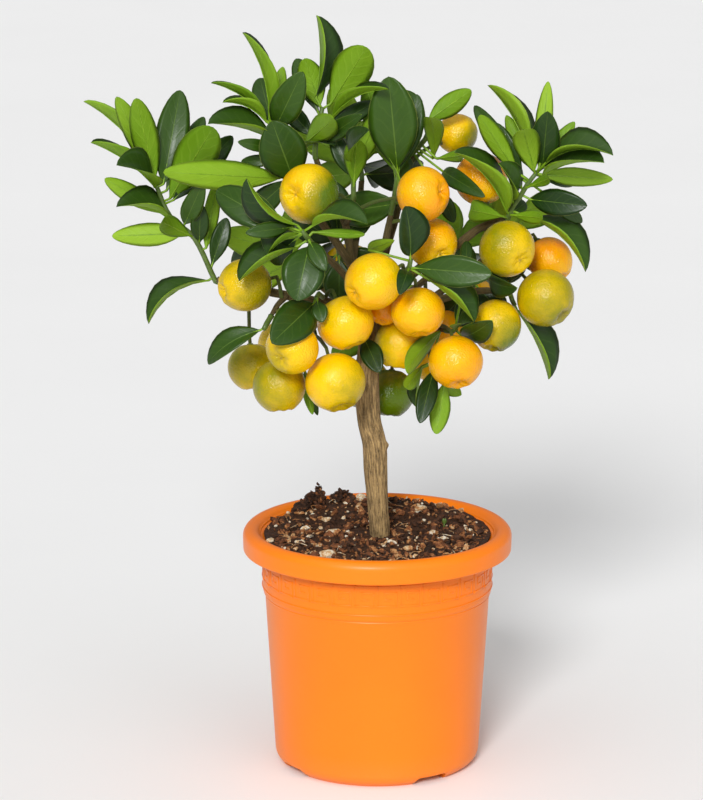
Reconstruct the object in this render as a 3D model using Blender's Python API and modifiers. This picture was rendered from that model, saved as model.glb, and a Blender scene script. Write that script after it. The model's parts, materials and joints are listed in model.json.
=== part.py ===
"""A potted calamondin: a small citrus tree with ripe fruit, growing in a round plastic nursery pot.

Metres, +Z up. The origin is on the floor, on the pot's axis, and the front of the plant faces -Y.
The crown is laid out in millimetres on a front view: x to the right, z up from the floor, and a
depth y that is negative towards the front.
"""

import math

import bmesh
import bpy
from mathutils import Matrix, Vector, noise
from mathutils.bvhtree import BVHTree

MM = 0.001
CLEARANCE = 0.0003  # gap between two pieces that touch

# The pot
POT_HEIGHT = 0.1519
BAND_RADIUS = 0.0723  # the straight band under the rim
BAND_DROP = 0.0419  # how far the band's foot lies below the top
BAND_FOOT = POT_HEIGHT - BAND_DROP
BAND_STEP = 0.0018  # how far the band stands out from the body
RIM_RADIUS = BAND_RADIUS + 0.0121
RIM_DROP = 0.0145  # how far the rim's skirt hangs below the top
RIM_ROUND = 0.0054  # how round the rim is above its skirt
LIP_RADIUS = BAND_RADIUS + 0.0008  # inner edge of the rim
BODY_TOP_RADIUS = BAND_RADIUS - BAND_STEP
BODY_TAPER = 0.0060  # how much narrower the body is at its foot
BODY_FOOT_RADIUS = BODY_TOP_RADIUS - BODY_TAPER
POT_WALL = 0.0018
POT_FLOOR = 0.0024
FOOT_ROUND = 0.0085
FOOT_RING_WIDTH = 0.0085
FOOT_HEIGHT = 0.0055
FOOT_NOTCH_WIDTH = 0.0230
FOOT_NOTCH_ANGLES = (-57.0, -148.0, 33.0, 123.0)  # degrees from +X
CENTRE_FOOT_RADIUS = 0.0150
DRAIN_HOLES = 4
DRAIN_HOLE_RADIUS = 0.0045
DRAIN_HOLE_RING = BODY_FOOT_RADIUS - 0.0294
POT_SEGMENTS = 40

# The potting soil
SOIL_DROP = 0.0045  # soil surface below the rim at the wall
SOIL_DIP = 0.0015  # how much lower the soil is at the trunk
SOIL_HEAP = 0.0080  # how much higher it is heaped behind the trunk
SOIL_HEAP_REACH = 0.0550
SOIL_LUMPS = 0.0011
ROOT_DEPTH = 0.0300

# The wood
TRUNK_FOOT_RADIUS = 0.0063
TRUNK_RADIUS = 0.0075
LIMB_RADIUS = 0.0029
STALK_RADIUS = 0.0011
TWIG_RADIUS = 0.0014

# Leaves and fruit
LEAF_THICKNESS = 0.0007
PETIOLE_HALF_WIDTH = 0.0009
PETIOLE_LENGTH = 0.0035
ROOT_STEP = 0.00015  # neighbouring petioles start at slightly different depths in their twig
LEAF_MARGIN = 0.00045  # room kept round a leaf
BLADE_START = 0.14  # share of the leaf that is its stalk
FOOT_SHARE = 0.3  # how far the blade's foot moves in depth when its tip moves
LEAF_STATIONS = (0.0, BLADE_START, 0.38, 0.72, 1.0)
WIDEST_LEAF = 0.0320
STEM_DIP = 0.93  # how flat a fruit is at its two ends
STALK_LEAD = 0.0055  # length of stalk that leaves a fruit along its axis

LAYOUT_POT_HEIGHT = 151.9  # mm: the pot's height on the front view that the crown is laid out on
LAYOUT_EYE = Vector((-0.0162, -2.420, 0.830))  # the point that the front view is drawn from

# Woody parts: points (x, z, depth) in mm, and the radius at each end over LIMB_RADIUS
TRUNK = [(1.7, 146, 0), (-0.2, 174.6, 0), (-1.1, 190, 0), (-2, 206, 0), (-4.8, 218, 0),
         (-6, 230, 0), (-6.6, 251, 1), (-5.5, 268, 6), (-4, 286, 11)]
LIMBS = {
    "left": ([(-4, 284, 11), (-26, 293, 8), (-56, 300, -6), (-80, 305, -6), (-99, 310, 0)], 1.15, 0.75),
    "up_left": ([(-5, 284, 11), (-16, 318, 14), (-34, 345, 8), (-49, 366, -2)], 1.2, 0.62),
    "up_middle": ([(-16, 318, 14), (-20, 345, 18), (-33, 372, 14), (-38, 386, 8)], 0.9, 0.6),
    "up_inner": ([(-20, 345, 18), (-16, 352, 8), (-15, 361, -2)], 0.7, 0.5),
    "up_right": ([(-4, 284, 11), (2, 318, 14), (6, 340, 12), (8, 351, 8)], 1.2, 0.6),
    "crown_right": ([(2, 318, 14), (10, 345, 24), (16, 372, 26), (21, 388, 20)], 0.9, 0.6),
    "right": ([(-3, 284, 11), (22, 314, 16), (48, 331, 6), (62, 342, 2), (78, 348, 2)], 1.15, 0.75),
    "right_low": ([(-3, 282, 11), (28, 294, 20), (56, 302, 16), (72, 303, 8), (80, 302, 2)], 1.0, 0.6),
    "front_left": ([(-5, 284, 11), (-14, 304, -4), (-27, 320, -22), (-38, 330, -40)], 0.9, 0.6),
    "front_right": ([(-2, 286, 11), (8, 303, -8), (14, 311, -24), (18, 316, -34)], 0.9, 0.6),
    "low_right": ([(-3, 280, 10), (18, 282, 14), (34, 280, 4), (42, 278, -6)], 0.9, 0.55),
    "low_front": ([(18, 282, 14), (28, 272, 6), (33, 262, -4)], 0.7, 0.5),
    "low_left": ([(-26, 293, 8), (-38, 282, 8), (-44, 268, 4)], 0.7, 0.45),
    "left_front": ([(-26, 293, 8), (-31, 297, -10), (-34, 299, -22)], 0.7, 0.5),
    "left_spur": ([(-56, 300, -6), (-62, 294, -22), (-66, 287, -36)], 0.7, 0.45),
    "trunk_leaf": ([(-4, 280, 9), (-8, 282, 0), (-9, 280, -5)], 0.6, 0.5),
    "heart": ([(-5, 284, 11), (-14, 303, 26), (-22, 320, 30)], 0.8, 0.5),
    "heart_right": ([(28, 294, 20), (44, 300, 30), (56, 304, 32)], 0.7, 0.5),
    "back_left": ([(-5, 284, 11), (-28, 300, 36), (-48, 318, 54)], 1.0, 0.6),
    "back_right": ([(-3, 284, 11), (20, 302, 40), (38, 318, 56)], 1.0, 0.6),
    "back_top": ([(-16, 318, 14), (-12, 348, 40), (-10, 372, 50)], 0.9, 0.6),
    "back_low": ([(-4, 282, 11), (-6, 284, 40), (-4, 282, 58)], 0.9, 0.6),
    "back_far_right": ([(28, 294, 20), (52, 312, 38), (74, 330, 42)], 0.8, 0.55),
}

# Fruit: x and z (mm, front view), depth y, width, height, and where the blossom end shows, in radii
FRUIT = [
    (-42.3, 364.1, -24, 37.0, 36.0, -0.55, 0.35),
    (-82.1, 306.6, -16, 32.5, 33.5, -0.90, 0.10),
    (-2.5, 308.8, -48, 34.5, 36.5, -0.80, -0.10),
    (-20.2, 281.0, -30, 35.5, 33.0, 0.45, -0.80),
    (-53.0, 266.8, -50, 33.0, 31.5, -0.55, -0.10),
    (-78.1, 254.5, 3, 30.5, 30.0, 0.10, -0.95),
    (48.5, 401.3, 34, 25.0, 26.0, None, None),
    (63.4, 373.3, 12, 33.0, 33.0, None, None),
    (27.8, 363.9, -26, 34.0, 31.5, 0.75, 0.45),
    (33.5, 333.1, -8, 31.5, 31.0, 0.42, -0.15),
    (79.8, 329.4, -10, 35.0, 34.5, 0.55, -0.08),
    (-61.3, 242.3, -24, 33.0, 33.5, 0.10, -0.95),
    (-26.0, 245.7, -38, 37.5, 36.0, 0.30, -0.75),
    (25.0, 289.5, -36, 33.5, 30.5, 0.10, -0.85),
    (13.6, 269.8, -10, 32.0, 32.0, -0.20, -0.95),
    (48.6, 257.7, -30, 34.0, 32.5, 0.15, -0.70),
    (7.8, 237.8, 30, 31.0, 31.0, -0.10, -0.95),
    (106.4, 322.4, 14, 28.0, 29.5, 0.60, -0.60),
    (102.8, 297.8, -10, 36.0, 35.5, 0.72, -0.38),
    (74.0, 281.3, -14, 31.5, 32.5, -0.25, -0.80),
    (4.5, 291.0, -12, 20.0, 20.0, None, None),
    (42.0, 277.0, 22, 27.0, 27.0, None, None),
    (-58.0, 268.0, 62, 34.0, 32.0, -0.30, -0.90),
    (34.0, 262.0, 66, 35.0, 33.0, 0.20, -0.90),
    (-18.0, 316.0, 74, 36.0, 34.0, 0.10, -0.80),
    (58.0, 296.0, 70, 33.0, 32.0, 0.50, -0.70),
    (-8.0, 244.0, 76, 33.0, 33.0, 0.00, -0.95),
]
STEM_UP_AT_BACK = 0.25  # how far a hidden stem end leans up, so that a stalk can reach it

# How a leaf lies: turn (0 shows the upper side, 180 the underside) and fold along the midrib, degrees.
# u shows the upper side, v the upper side turned partly away, b the underside; s shows the upper side
# with a strip of the underside along the midrib, and t and c the underside with a strip of the upper
# side along the far edge.
LOOKS = {"u": (0, 15), "v": (38, 20), "b": (180, 15), "s": (66, 35), "t": (83, 38), "c": (93, 37)}
SIDES = {"L": (-1, 0, 0), "R": (1, 0, 0), "T": (0, 0, 1), "B": (0, 0, -1)}

# Shoots: the limb that carries each one, the depth plane that x and z are given on, the green twig's
# points (x, z, depth) after the limb's end, and the leaves, one a row:
# tip x, z, depth; blade foot x, z; breadth across the front view; look and the side it opens to; arch
SHOOTS = {
    "shoot_left": ("left", 0, [(-113, 336, 0), (-128, 350, 2), (-137, 371, 4)], [
        (-101, 405.5, -24, -128, 361, 26, "b", 0.10), (-148, 423.5, -12, -137, 371, 17, "b", 0.06),
        (-180, 421.5, -5, -136, 368, 17, "cT", 0.10), (-160, 424.5, 10, -137, 371, 14, "b", 0.05),
        (-121, 428.5, 24, -132, 370, 21, "u", 0.08), (-106.5, 412, 34, -130, 366, 14, "u", 0.06),
        (-89, 400, 18, -126, 360, 16, "u", 0.08), (-176, 396, -14, -137, 368, 14, "cT", 0.14),
        (-160.5, 382, -24, -136, 367, 13, "sT", 0.10), (-168, 373.5, -2, -127, 350, 12, "b", 0.06),
        (-161, 356, -14, -125, 347, 13, "sT", 0.12), (-164, 337.5, 4, -117, 339, 15, "b", 0.08),
        (-133, 346.5, -36, -114, 337, 13, "b", 0.10), (-107, 372, -20, -119, 344, 13, "u", 0.08),
        (-109, 358, -12, -109, 331, 12, "u", 0.08), (-99, 373, 16, -106, 330, 10, "b", 0.06),
        (-142, 282, -8, -101, 312, 11, "sT", 0.16), (-93, 349, 8, -101, 317, 12, "u", 0.06),
    ]),
    "shoot_upper_left": ("up_left", 0, [(-56, 383, 0), (-62, 397, 0), (-66, 409, 2)], [
        (-82.5, 464, -8, -65, 411, 15.5, "cR", 0.08), (-46, 440, -18, -61, 404, 20, "u", 0.08),
        (-102, 433, -2, -68, 410, 10, "cT", 0.10), (-95, 421, -14, -67, 407, 11, "cT", 0.12),
        (-104, 408, -24, -64, 397, 13, "sT", 0.14), (-86, 396.5, -14, -61, 391, 8, "u", 0.08),
        (-132, 377.5, -34, -60, 374, 19, "b", 0.08), (-58, 443, 12, -64, 408, 10, "b", 0.05),
        (-72, 436, 26, -64, 404, 16, "u", 0.08), (-84, 384, 4, -58, 385, 8, "u", 0.10),
        (-65, 409.5, -12, -51, 369, 30, "u", 0.04), (-78, 352, 16, -54, 374, 16, "u", 0.08),
    ]),
    "shoot_top": ("up_middle", 0, [(-38, 398, 6), (-36, 408, 4), (-34, 418, 4)], [
        (-7, 455, -10, -29, 420, 25, "b", 0.08), (-37.5, 474.5, 8, -38, 424, 14, "sR", 0.06),
        (-45, 448, -4, -37, 416, 17, "b", 0.08), (6.5, 429, -16, -28, 412, 12, "cT", 0.10),
        (-10, 413.5, -22, -33, 398, 12, "u", 0.12), (-27, 411, -30, -44, 396, 17, "b", 0.12),
        (-26, 394, -34, -46, 391, 9, "sT", 0.14), (-50, 448, 20, -38, 412, 14, "u", 0.06),
        (-2, 421, 12, -32, 404, 12, "u", 0.08), (-58, 420, 22, -39, 398, 12, "u", 0.08),
    ]),
    "shoot_inner": ("up_inner", 0, [(-15, 371, -4), (-14, 380, -4)], [
        (-13, 398, -22, -17, 367, 15, "b", 0.08), (0, 414, -6, -13, 380, 14, "b", 0.06),
        (-5.5, 404, -26, -16, 384, 8, "sT", 0.08), (-28, 402, 6, -16, 372, 12, "u", 0.06),
    ]),
    "shoot_front_left": ("front_left", -20, [(-42, 339, -50), (-46.5, 345, -56)], [
        (-80, 377.6, -60, -49, 348, 13, "sL", 0.10), (-98.5, 370, -46, -54, 344, 22, "u", 0.10),
        (-50, 301, -66, -43, 336, 27, "u", 0.08), (-81, 343.5, -70, -54, 347, 10, "u", 0.12),
        (-67.7, 329.5, -72, -48, 345, 15, "sL", 0.12), (-85.3, 313.5, -60, -50, 335, 16, "sT", 0.12),
        (-32, 320, -66, -43, 342, 11, "u", 0.10), (-6.5, 349, -76, -40, 348, 12, "sT", 0.12),
        (-8, 342.5, -66, -40, 344, 6, "b", 0.10), (-66, 326, -48, -50, 340, 14, "u", 0.10),
    ]),
    "shoot_left_leaf": ("left_front", -40, [(-36, 310, -30), (-38, 307, -36)], [
        (-65, 279, -72, -39, 304, 25, "u", 0.06), (-34, 292, -20, -36, 306, 10, "u", 0.06),
    ]),
    "shoot_crown": ("up_right", 0, [(10, 361, 3), (11, 368, 0), (12, 376, -2)], [
        (6.5, 437, -8, 12, 379, 33, "u", 0.06), (5.7, 388.5, -26, 10, 364, 12, "sR", 0.10),
        (24, 426, 10, 13, 374, 18, "u", 0.06), (-8, 432, 14, 10, 376, 18, "b", 0.06),
        (-26, 352, 2, 13, 358, 23, "u", 0.04), (30, 352, 20, 11, 366, 16, "u", 0.08),
    ]),
    "shoot_crown_right": ("crown_right", 0, [(29, 398, 14), (33, 408, 12)], [
        (57, 428.5, 8, 31, 410, 14, "b", 0.06), (32, 411.5, -22, 34, 386, 13, "b", 0.10),
        (66, 362, -24, 40, 378, 12, "u", 0.16), (52, 388, -16, 36, 386, 8, "b", 0.12),
        (14, 428, 24, 30, 404, 14, "u", 0.08), (47, 346, 12, 38, 366, 10, "u", 0.10),
    ]),
    "shoot_front_right": ("front_right", -30, [(19, 324, -38), (20, 329, -42)], [
        (16.5, 362, -52, 19, 328, 20, "v", 0.05), (69.5, 320, -54, 22, 323, 20, "u", 0.05),
        (13, 307, -58, 19, 324, 11, "uL", 0.16), (59, 290, -46, 32, 316, 15, "sR", 0.12),
        (10, 341, -24, -6, 335, 9, "b", 0.10),
    ]),
    "shoot_low_right": ("low_right", -30, [(46, 284, -12), (48, 286, -14)], [
        (70, 291, -40, 52, 281, 17, "u", 0.08), (59.5, 290, -28, 45, 283, 8, "sT", 0.10),
        (54, 340.5, 8, 54, 322, 8, "u", 0.06), (60, 303, 16, 46, 288, 18, "u", 0.08),
        (68, 309, 26, 50, 290, 16, "u", 0.08),
    ]),
    "shoot_low_front": ("low_front", -30, [(36, 260, -8), (37, 253, -12)], [
        (18, 258, -50, 38, 284, 13, "b", 0.08), (17.5, 248, -34, 27, 262, 9, "b", 0.08),
        (26, 226, -32, 33, 262, 13, "u", 0.08), (36, 219, -20, 41, 252, 13, "b", 0.05),
        (25.5, 235, -18, 27, 261, 7, "sL", 0.06), (51.5, 244, -6, 41, 250, 9, "b", 0.08),
    ]),
    "shoot_low_left": ("low_left", -40, [(-46, 272, 4), (-46.5, 266, 2)], [
        (-40, 234, -10, -47, 262, 6, "b", 0.06), (-37, 233.5, 2, -45, 262, 6, "u", 0.06),
        (-40, 290, 6, -46, 268, 10, "u", 0.08),
    ]),
    "shoot_left_spur": ("left_spur", -40, [(-68, 291, -42), (-69.5, 288, -46)], [
        (-104, 266, -40, -70, 288, 14, "vT", 0.14),
    ]),
    "shoot_trunk": ("trunk_leaf", -40, [(-10, 286, -7), (-9.5, 284, -8)], [
        (1, 260.5, -18, -11, 282, 14, "u", 0.05),
    ]),
    "shoot_heart": ("heart", 0, [(-24, 328, 32), (-24, 334, 32)], [
        (-52, 351, 34, -25, 334, 22, "u", 0.06), (-2, 356, 38, -23, 334, 22, "u", 0.06),
        (-46, 305, 36, -25, 327, 20, "u", 0.06), (-1, 318, 32, -22, 328, 18, "u", 0.06),
        (-28, 372, 44, -24, 336, 22, "u", 0.06), (-24, 296, 40, -24, 326, 20, "u", 0.06),
    ]),
    "shoot_heart_right": ("heart_right", 0, [(60, 308, 33), (62, 312, 33)], [
        (92, 320, 36, 63, 311, 18, "u", 0.06), (44, 332, 38, 61, 312, 20, "u", 0.06),
        (78, 284, 34, 61, 307, 18, "u", 0.06), (42, 288, 34, 59, 306, 18, "u", 0.06),
    ]),
    "shoot_right": ("right", 0, [(83, 356, 0), (88, 363, -2), (92, 370, -4), (98, 378, -4)], [
        (47, 390, -24, 79, 352, 16, "tT", 0.08), (89, 404, -40, 97, 376, 17, "b", 0.10),
        (104, 415.5, -26, 101, 380, 19, "u", 0.06), (139, 383.5, -26, 101, 375, 16, "sT", 0.10),
        (129, 356.5, -18, 94, 360.5, 17, "u", 0.08), (62, 413, -16, 85, 378, 13, "b", 0.06),
        (71, 408.5, -2, 89, 373, 13, "u", 0.08), (67.2, 431.5, 12, 93, 384, 13, "tR", 0.08),
        (144.5, 388, -4, 103, 383, 14, "sT", 0.16), (104, 434, 18, 99, 380, 11, "b", 0.05),
        (59, 419, 24, 88, 376, 12, "u", 0.06), (78.5, 413, 8, 94, 380, 11, "b", 0.08),
        (120.5, 409, 8, 100, 380, 11, "b", 0.08), (132.5, 403, 22, 101, 380, 13, "b", 0.10),
        (144.5, 373, 10, 101, 376, 12, "b", 0.12), (74, 383, -16, 83, 358, 10, "sR", 0.10),
        (101.5, 349, -30, 84, 350, 9, "b", 0.10), (128.5, 315, -10, 94, 349, 16, "sT", 0.12),
        (82.5, 376, -22, 90, 366, 8, "b", 0.10), (105, 373.5, -34, 93, 366, 7, "b", 0.10),
        (57, 354, -14, 76, 350, 14, "b", 0.14), (121.5, 370.5, 16, 99, 374, 8, "u", 0.10),
        (126, 346, 10, 100, 366, 10, "u", 0.10), (91, 358.5, 14, 84, 350, 8, "u", 0.08),
    ]),
    "shoot_right_low": ("right_low", -10, [(83, 299, -2), (84.5, 296, -4)], [
        (106, 249, -8, 86, 293, 15, "sR", 0.06), (86, 307, -28, 68, 314, 12, "v", 0.10),
        (66, 322, 20, 80, 300, 12, "u", 0.08),
    ]),
}

# Leafy shoots at the back: limb, direction the twig runs in, its length, leaf count, leaf length (mm)
BACK_SHOOTS = {
    "shoot_back_left": ("back_left", (-0.5, 0.7, 0.5), 16, 7, 46),
    "shoot_back_right": ("back_right", (0.45, 0.75, 0.5), 16, 7, 46),
    "shoot_back_top": ("back_top", (-0.1, 0.6, 0.8), 18, 8, 48),
    "shoot_back_low": ("back_low", (0.05, 0.95, 0.1), 12, 6, 42),
    "shoot_back_far_right": ("back_far_right", (0.5, 0.7, 0.5), 14, 6, 42),
}
BACK_LEAF_BREADTH = 20  # mm
GOLDEN_ANGLE = math.radians(137.5)

# Moves that are tried, in this order, to clear a leaf of its neighbours: tip depth, turn, arch, size
DEPTH_MOVES = (0, -5, 5, -10, 10, -16, 16, -23, 23, -31, 31, -40, 40)
TURN_MOVES = (0, 14, -14, 28, -28)
ARCH_MOVES = (0, 0.08, -0.08)
SIZE_MOVES = (1.0, 0.82, 0.64, 0.46)


# ---------------------------------------------------------------- scene and helpers

def clear_scene():
    for obj in list(bpy.data.objects):
        bpy.data.objects.remove(obj, do_unlink=True)


def new_collection(name, hidden=False):
    collection = bpy.data.collections.new(name)
    bpy.context.scene.collection.children.link(collection)
    collection.hide_render = hidden
    return collection


def material(name, colour, roughness):
    made = bpy.data.materials.new(name)
    made.use_nodes = True
    shader = made.node_tree.nodes["Principled BSDF"]
    shader.inputs["Base Color"].default_value = (*colour, 1.0)
    shader.inputs["Roughness"].default_value = roughness
    shader.inputs["Metallic"].default_value = 0.0
    return made


def object_of(bm, name, collection, finish=None):
    mesh = bpy.data.meshes.new(name)
    bm.to_mesh(mesh)
    bm.free()
    obj = bpy.data.objects.new(name, mesh)
    collection.objects.link(obj)
    if finish:
        mesh.materials.append(finish)
        mesh.shade_smooth()
    return obj


def as_helper(obj):
    obj.hide_render = True
    obj.display_type = "WIRE"
    return obj


def add_boolean(obj, operation, operand, solver="EXACT"):
    cut = obj.modifiers.new(operation.title(), "BOOLEAN")
    cut.operation = operation
    cut.solver = solver
    if isinstance(operand, bpy.types.Collection):
        cut.operand_type = "COLLECTION"
        cut.collection = operand
    else:
        cut.object = operand


def seen(x, z, depth, plane=0.0):
    """The point at this depth that the front view shows at x, z (all in mm; x, z lie on a plane)."""
    lift = POT_HEIGHT - LAYOUT_POT_HEIGHT * MM
    on_plane = Vector((x, plane, z)) * MM
    share = (depth * MM - LAYOUT_EYE.y) / (on_plane.y - LAYOUT_EYE.y)
    return LAYOUT_EYE + (on_plane - LAYOUT_EYE) * share + Vector((0, 0, lift))


def smooth_path(points, steps=3):
    """A Catmull-Rom curve through the points."""
    ends = [2 * points[0] - points[1], *points, 2 * points[-1] - points[-2]]
    path = []
    for a, b, c, d in zip(ends, ends[1:], ends[2:], ends[3:]):
        for step in range(steps):
            t = step / steps
            path.append(0.5 * (2 * b + (c - a) * t + (2 * a - 5 * b + 4 * c - d) * t**2
                               + (3 * b - a - 3 * c + d) * t**3))
    return path + [points[-1]]


def tube(name, path, radii, collection, resolution=1):
    """A round closed tube along the path, made a mesh; radii hold one value per point, or both ends."""
    if len(radii) < len(path):
        start, end = radii
        radii = [start + (end - start) * i / (len(path) - 1) for i in range(len(path))]
    curve = bpy.data.curves.new(name, "CURVE")
    curve.dimensions = "3D"
    curve.bevel_depth = 1.0
    curve.bevel_resolution = resolution
    curve.use_fill_caps = True
    spline = curve.splines.new("POLY")
    spline.points.add(len(path) - 1)
    for point, spot, radius in zip(spline.points, path, radii):
        point.co = (*spot, 1.0)
        point.radius = radius
    guide = bpy.data.objects.new(name + "_line", curve)
    collection.objects.link(guide)
    graph = bpy.context.evaluated_depsgraph_get()
    bm = bmesh.new()
    bm.from_mesh(bpy.data.meshes.new_from_object(guide.evaluated_get(graph)))
    bmesh.ops.remove_doubles(bm, verts=bm.verts, dist=1e-6)
    bmesh.ops.recalc_face_normals(bm, faces=bm.faces)
    bpy.data.objects.remove(guide, do_unlink=True)
    return object_of(bm, name, collection)


# ---------------------------------------------------------------- room between pieces

class Shape:
    """A closed surface that other pieces keep clear of."""

    def __init__(self, points, faces, owner=""):
        self.tree = BVHTree.FromPolygons(points, faces)
        self.low = [min(p[i] for p in points) for i in range(3)]
        self.high = [max(p[i] for p in points) for i in range(3)]
        self.owner = owner

    def touches(self, other):
        apart = any(self.low[i] > other.high[i] or other.low[i] > self.high[i] for i in range(3))
        return not apart and bool(self.tree.overlap(other.tree))


def shape_of(bm, owner=""):
    points = [v.co.copy() for v in bm.verts]
    faces = [[v.index for v in f.verts] for f in bm.faces]
    return Shape(points, faces, owner)


def tube_shape(path, radii, owner="", sides=6):
    """The surface of a tube, for the tests of room."""
    points, faces = [], []
    for index, spot in enumerate(path):
        ahead = path[min(index + 1, len(path) - 1)] - path[max(index - 1, 0)]
        frame = ahead.to_track_quat("Z", "Y").to_matrix()
        radius = radii[0] + (radii[1] - radii[0]) * index / (len(path) - 1)
        for side in range(sides):
            angle = 2 * math.pi * side / sides
            points.append(spot + frame @ Vector((math.cos(angle), math.sin(angle), 0)) * radius)
    for index in range(len(path) - 1):
        for side in range(sides):
            a, b = index * sides + side, index * sides + (side + 1) % sides
            faces.append((a, b, b + sides, a + sides))
    faces += [tuple(range(sides)), tuple(range(len(points) - sides, len(points)))]
    return Shape(points, faces, owner)


# ---------------------------------------------------------------- pot and soil

def body_radius(height):
    """The pot's outer radius between its foot and its band."""
    share = (height - FOOT_ROUND) / (BAND_FOOT - FOOT_ROUND)
    return BODY_FOOT_RADIUS + (BODY_TOP_RADIUS - BODY_FOOT_RADIUS) * share


def arc(centre, radius, start, end, steps):
    """Points of an arc in the profile's plane; angles in degrees from +X."""
    turns = [math.radians(start + (end - start) * i / steps) for i in range(steps + 1)]
    return [(centre[0] + radius * math.cos(t), centre[1] + radius * math.sin(t)) for t in turns]


def inner_profile():
    """The pot's inner side, from the axis out and up to the lip."""
    floor = FOOT_HEIGHT + POT_FLOOR
    return [(0.0, floor), (body_radius(floor) - POT_WALL - 0.004, floor),
            (body_radius(floor + 0.004) - POT_WALL, floor + 0.004),
            (BODY_TOP_RADIUS - POT_WALL, BAND_FOOT - 0.001), (BAND_RADIUS - POT_WALL, BAND_FOOT + 0.002),
            (BAND_RADIUS - POT_WALL, POT_HEIGHT - 0.006)]


def pot_profile():
    skirt_foot = POT_HEIGHT - RIM_DROP
    lip = [(LIP_RADIUS, POT_HEIGHT - 0.0035)]
    shoulder = arc((RIM_RADIUS - RIM_ROUND, POT_HEIGHT - RIM_ROUND), RIM_ROUND, 150, 0, 5)
    skirt = [(RIM_RADIUS, skirt_foot + 0.0015), (RIM_RADIUS - 0.0006, skirt_foot),
             (RIM_RADIUS - POT_WALL, skirt_foot)]
    under = [(RIM_RADIUS - POT_WALL, POT_HEIGHT - RIM_ROUND - 0.001),
             (RIM_RADIUS - RIM_ROUND, POT_HEIGHT - POT_WALL - 0.0008),
             (BAND_RADIUS + 0.003, POT_HEIGHT - POT_WALL - 0.0008), (BAND_RADIUS, POT_HEIGHT - 0.006)]
    band = [(BAND_RADIUS, BAND_FOOT + 0.0006), (BAND_RADIUS - 0.0006, BAND_FOOT)]
    body = [(BODY_TOP_RADIUS, BAND_FOOT)]
    foot = arc((BODY_FOOT_RADIUS - FOOT_ROUND, FOOT_ROUND), FOOT_ROUND, 0, -60, 3)
    ring_out = (BODY_FOOT_RADIUS - FOOT_ROUND + FOOT_ROUND * math.sin(math.radians(20)), 0.0)
    ring_in = ring_out[0] - FOOT_RING_WIDTH
    underside = [ring_out, (ring_in, 0.0), (ring_in - 0.001, FOOT_HEIGHT),
                 (CENTRE_FOOT_RADIUS + 0.001, FOOT_HEIGHT), (CENTRE_FOOT_RADIUS, 0.0), (0.0, 0.0)]
    return inner_profile() + lip + shoulder + skirt + under + band + body + foot + underside


def turned(name, profile, collection, segments, finish=None):
    """A profile turned about the axis; it runs down its outer side."""
    bm = bmesh.new()
    line = [bm.verts.new((r, 0, z)) for r, z in profile]
    for a, b in zip(line, line[1:]):
        bm.edges.new((a, b))
    obj = object_of(bm, name, collection)
    screw = obj.modifiers.new("Turn", "SCREW")
    screw.steps = screw.render_steps = segments
    screw.use_merge_vertices = True
    screw.merge_threshold = 1e-5
    if finish:
        obj.data.materials.append(finish)
        screw.use_smooth_shade = True
    return obj


def make_pot(parts, cutters):
    pot = turned("pot", pot_profile(), parts, POT_SEGMENTS, material("pot_plastic", (0.85, 0.2, 0.02), 0.35))
    notch = 2 * (FOOT_HEIGHT - 0.0005)
    for angle in FOOT_NOTCH_ANGLES:
        bm = bmesh.new()
        turn = Matrix.Rotation(math.radians(angle), 4, "Z")
        reach = Matrix.Diagonal((0.030, FOOT_NOTCH_WIDTH, notch, 1))
        place = turn @ Matrix.Translation((BODY_FOOT_RADIUS - 0.006, 0, 0)) @ reach
        bmesh.ops.create_cube(bm, size=1.0, matrix=place)
        add_boolean(pot, "DIFFERENCE", as_helper(object_of(bm, "foot_notch_cutter", cutters)))
    for index in range(DRAIN_HOLES):
        bm = bmesh.new()
        turn = Matrix.Rotation(2 * math.pi * (index + 0.5) / DRAIN_HOLES, 4, "Z")
        place = turn @ Matrix.Translation((DRAIN_HOLE_RING, 0, FOOT_HEIGHT + POT_FLOOR / 2))
        bmesh.ops.create_cone(bm, cap_ends=True, segments=12, radius1=DRAIN_HOLE_RADIUS,
                              radius2=DRAIN_HOLE_RADIUS, depth=4 * POT_FLOOR, matrix=place)
        add_boolean(pot, "DIFFERENCE", as_helper(object_of(bm, "drain_hole_cutter", cutters)))
    return pot


def soil_height(x, y):
    """The soil's surface: low at the trunk, heaped behind it, with lumps."""
    share = min(1.0, math.hypot(x, y) / LIP_RADIUS)
    lumps = noise.noise(Vector((x, y, 0.2)) * 60) + 0.5 * noise.noise(Vector((x, y, 3.1)) * 140)
    back = min(1.0, max(0.0, y / SOIL_HEAP_REACH))
    heap = SOIL_HEAP * back * back * (3 - 2 * back) * (1 - share**6)
    return (POT_HEIGHT - SOIL_DROP - SOIL_DIP * (1 - share**2) + heap
            + SOIL_LUMPS * lumps * (1 - share**4))


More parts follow.
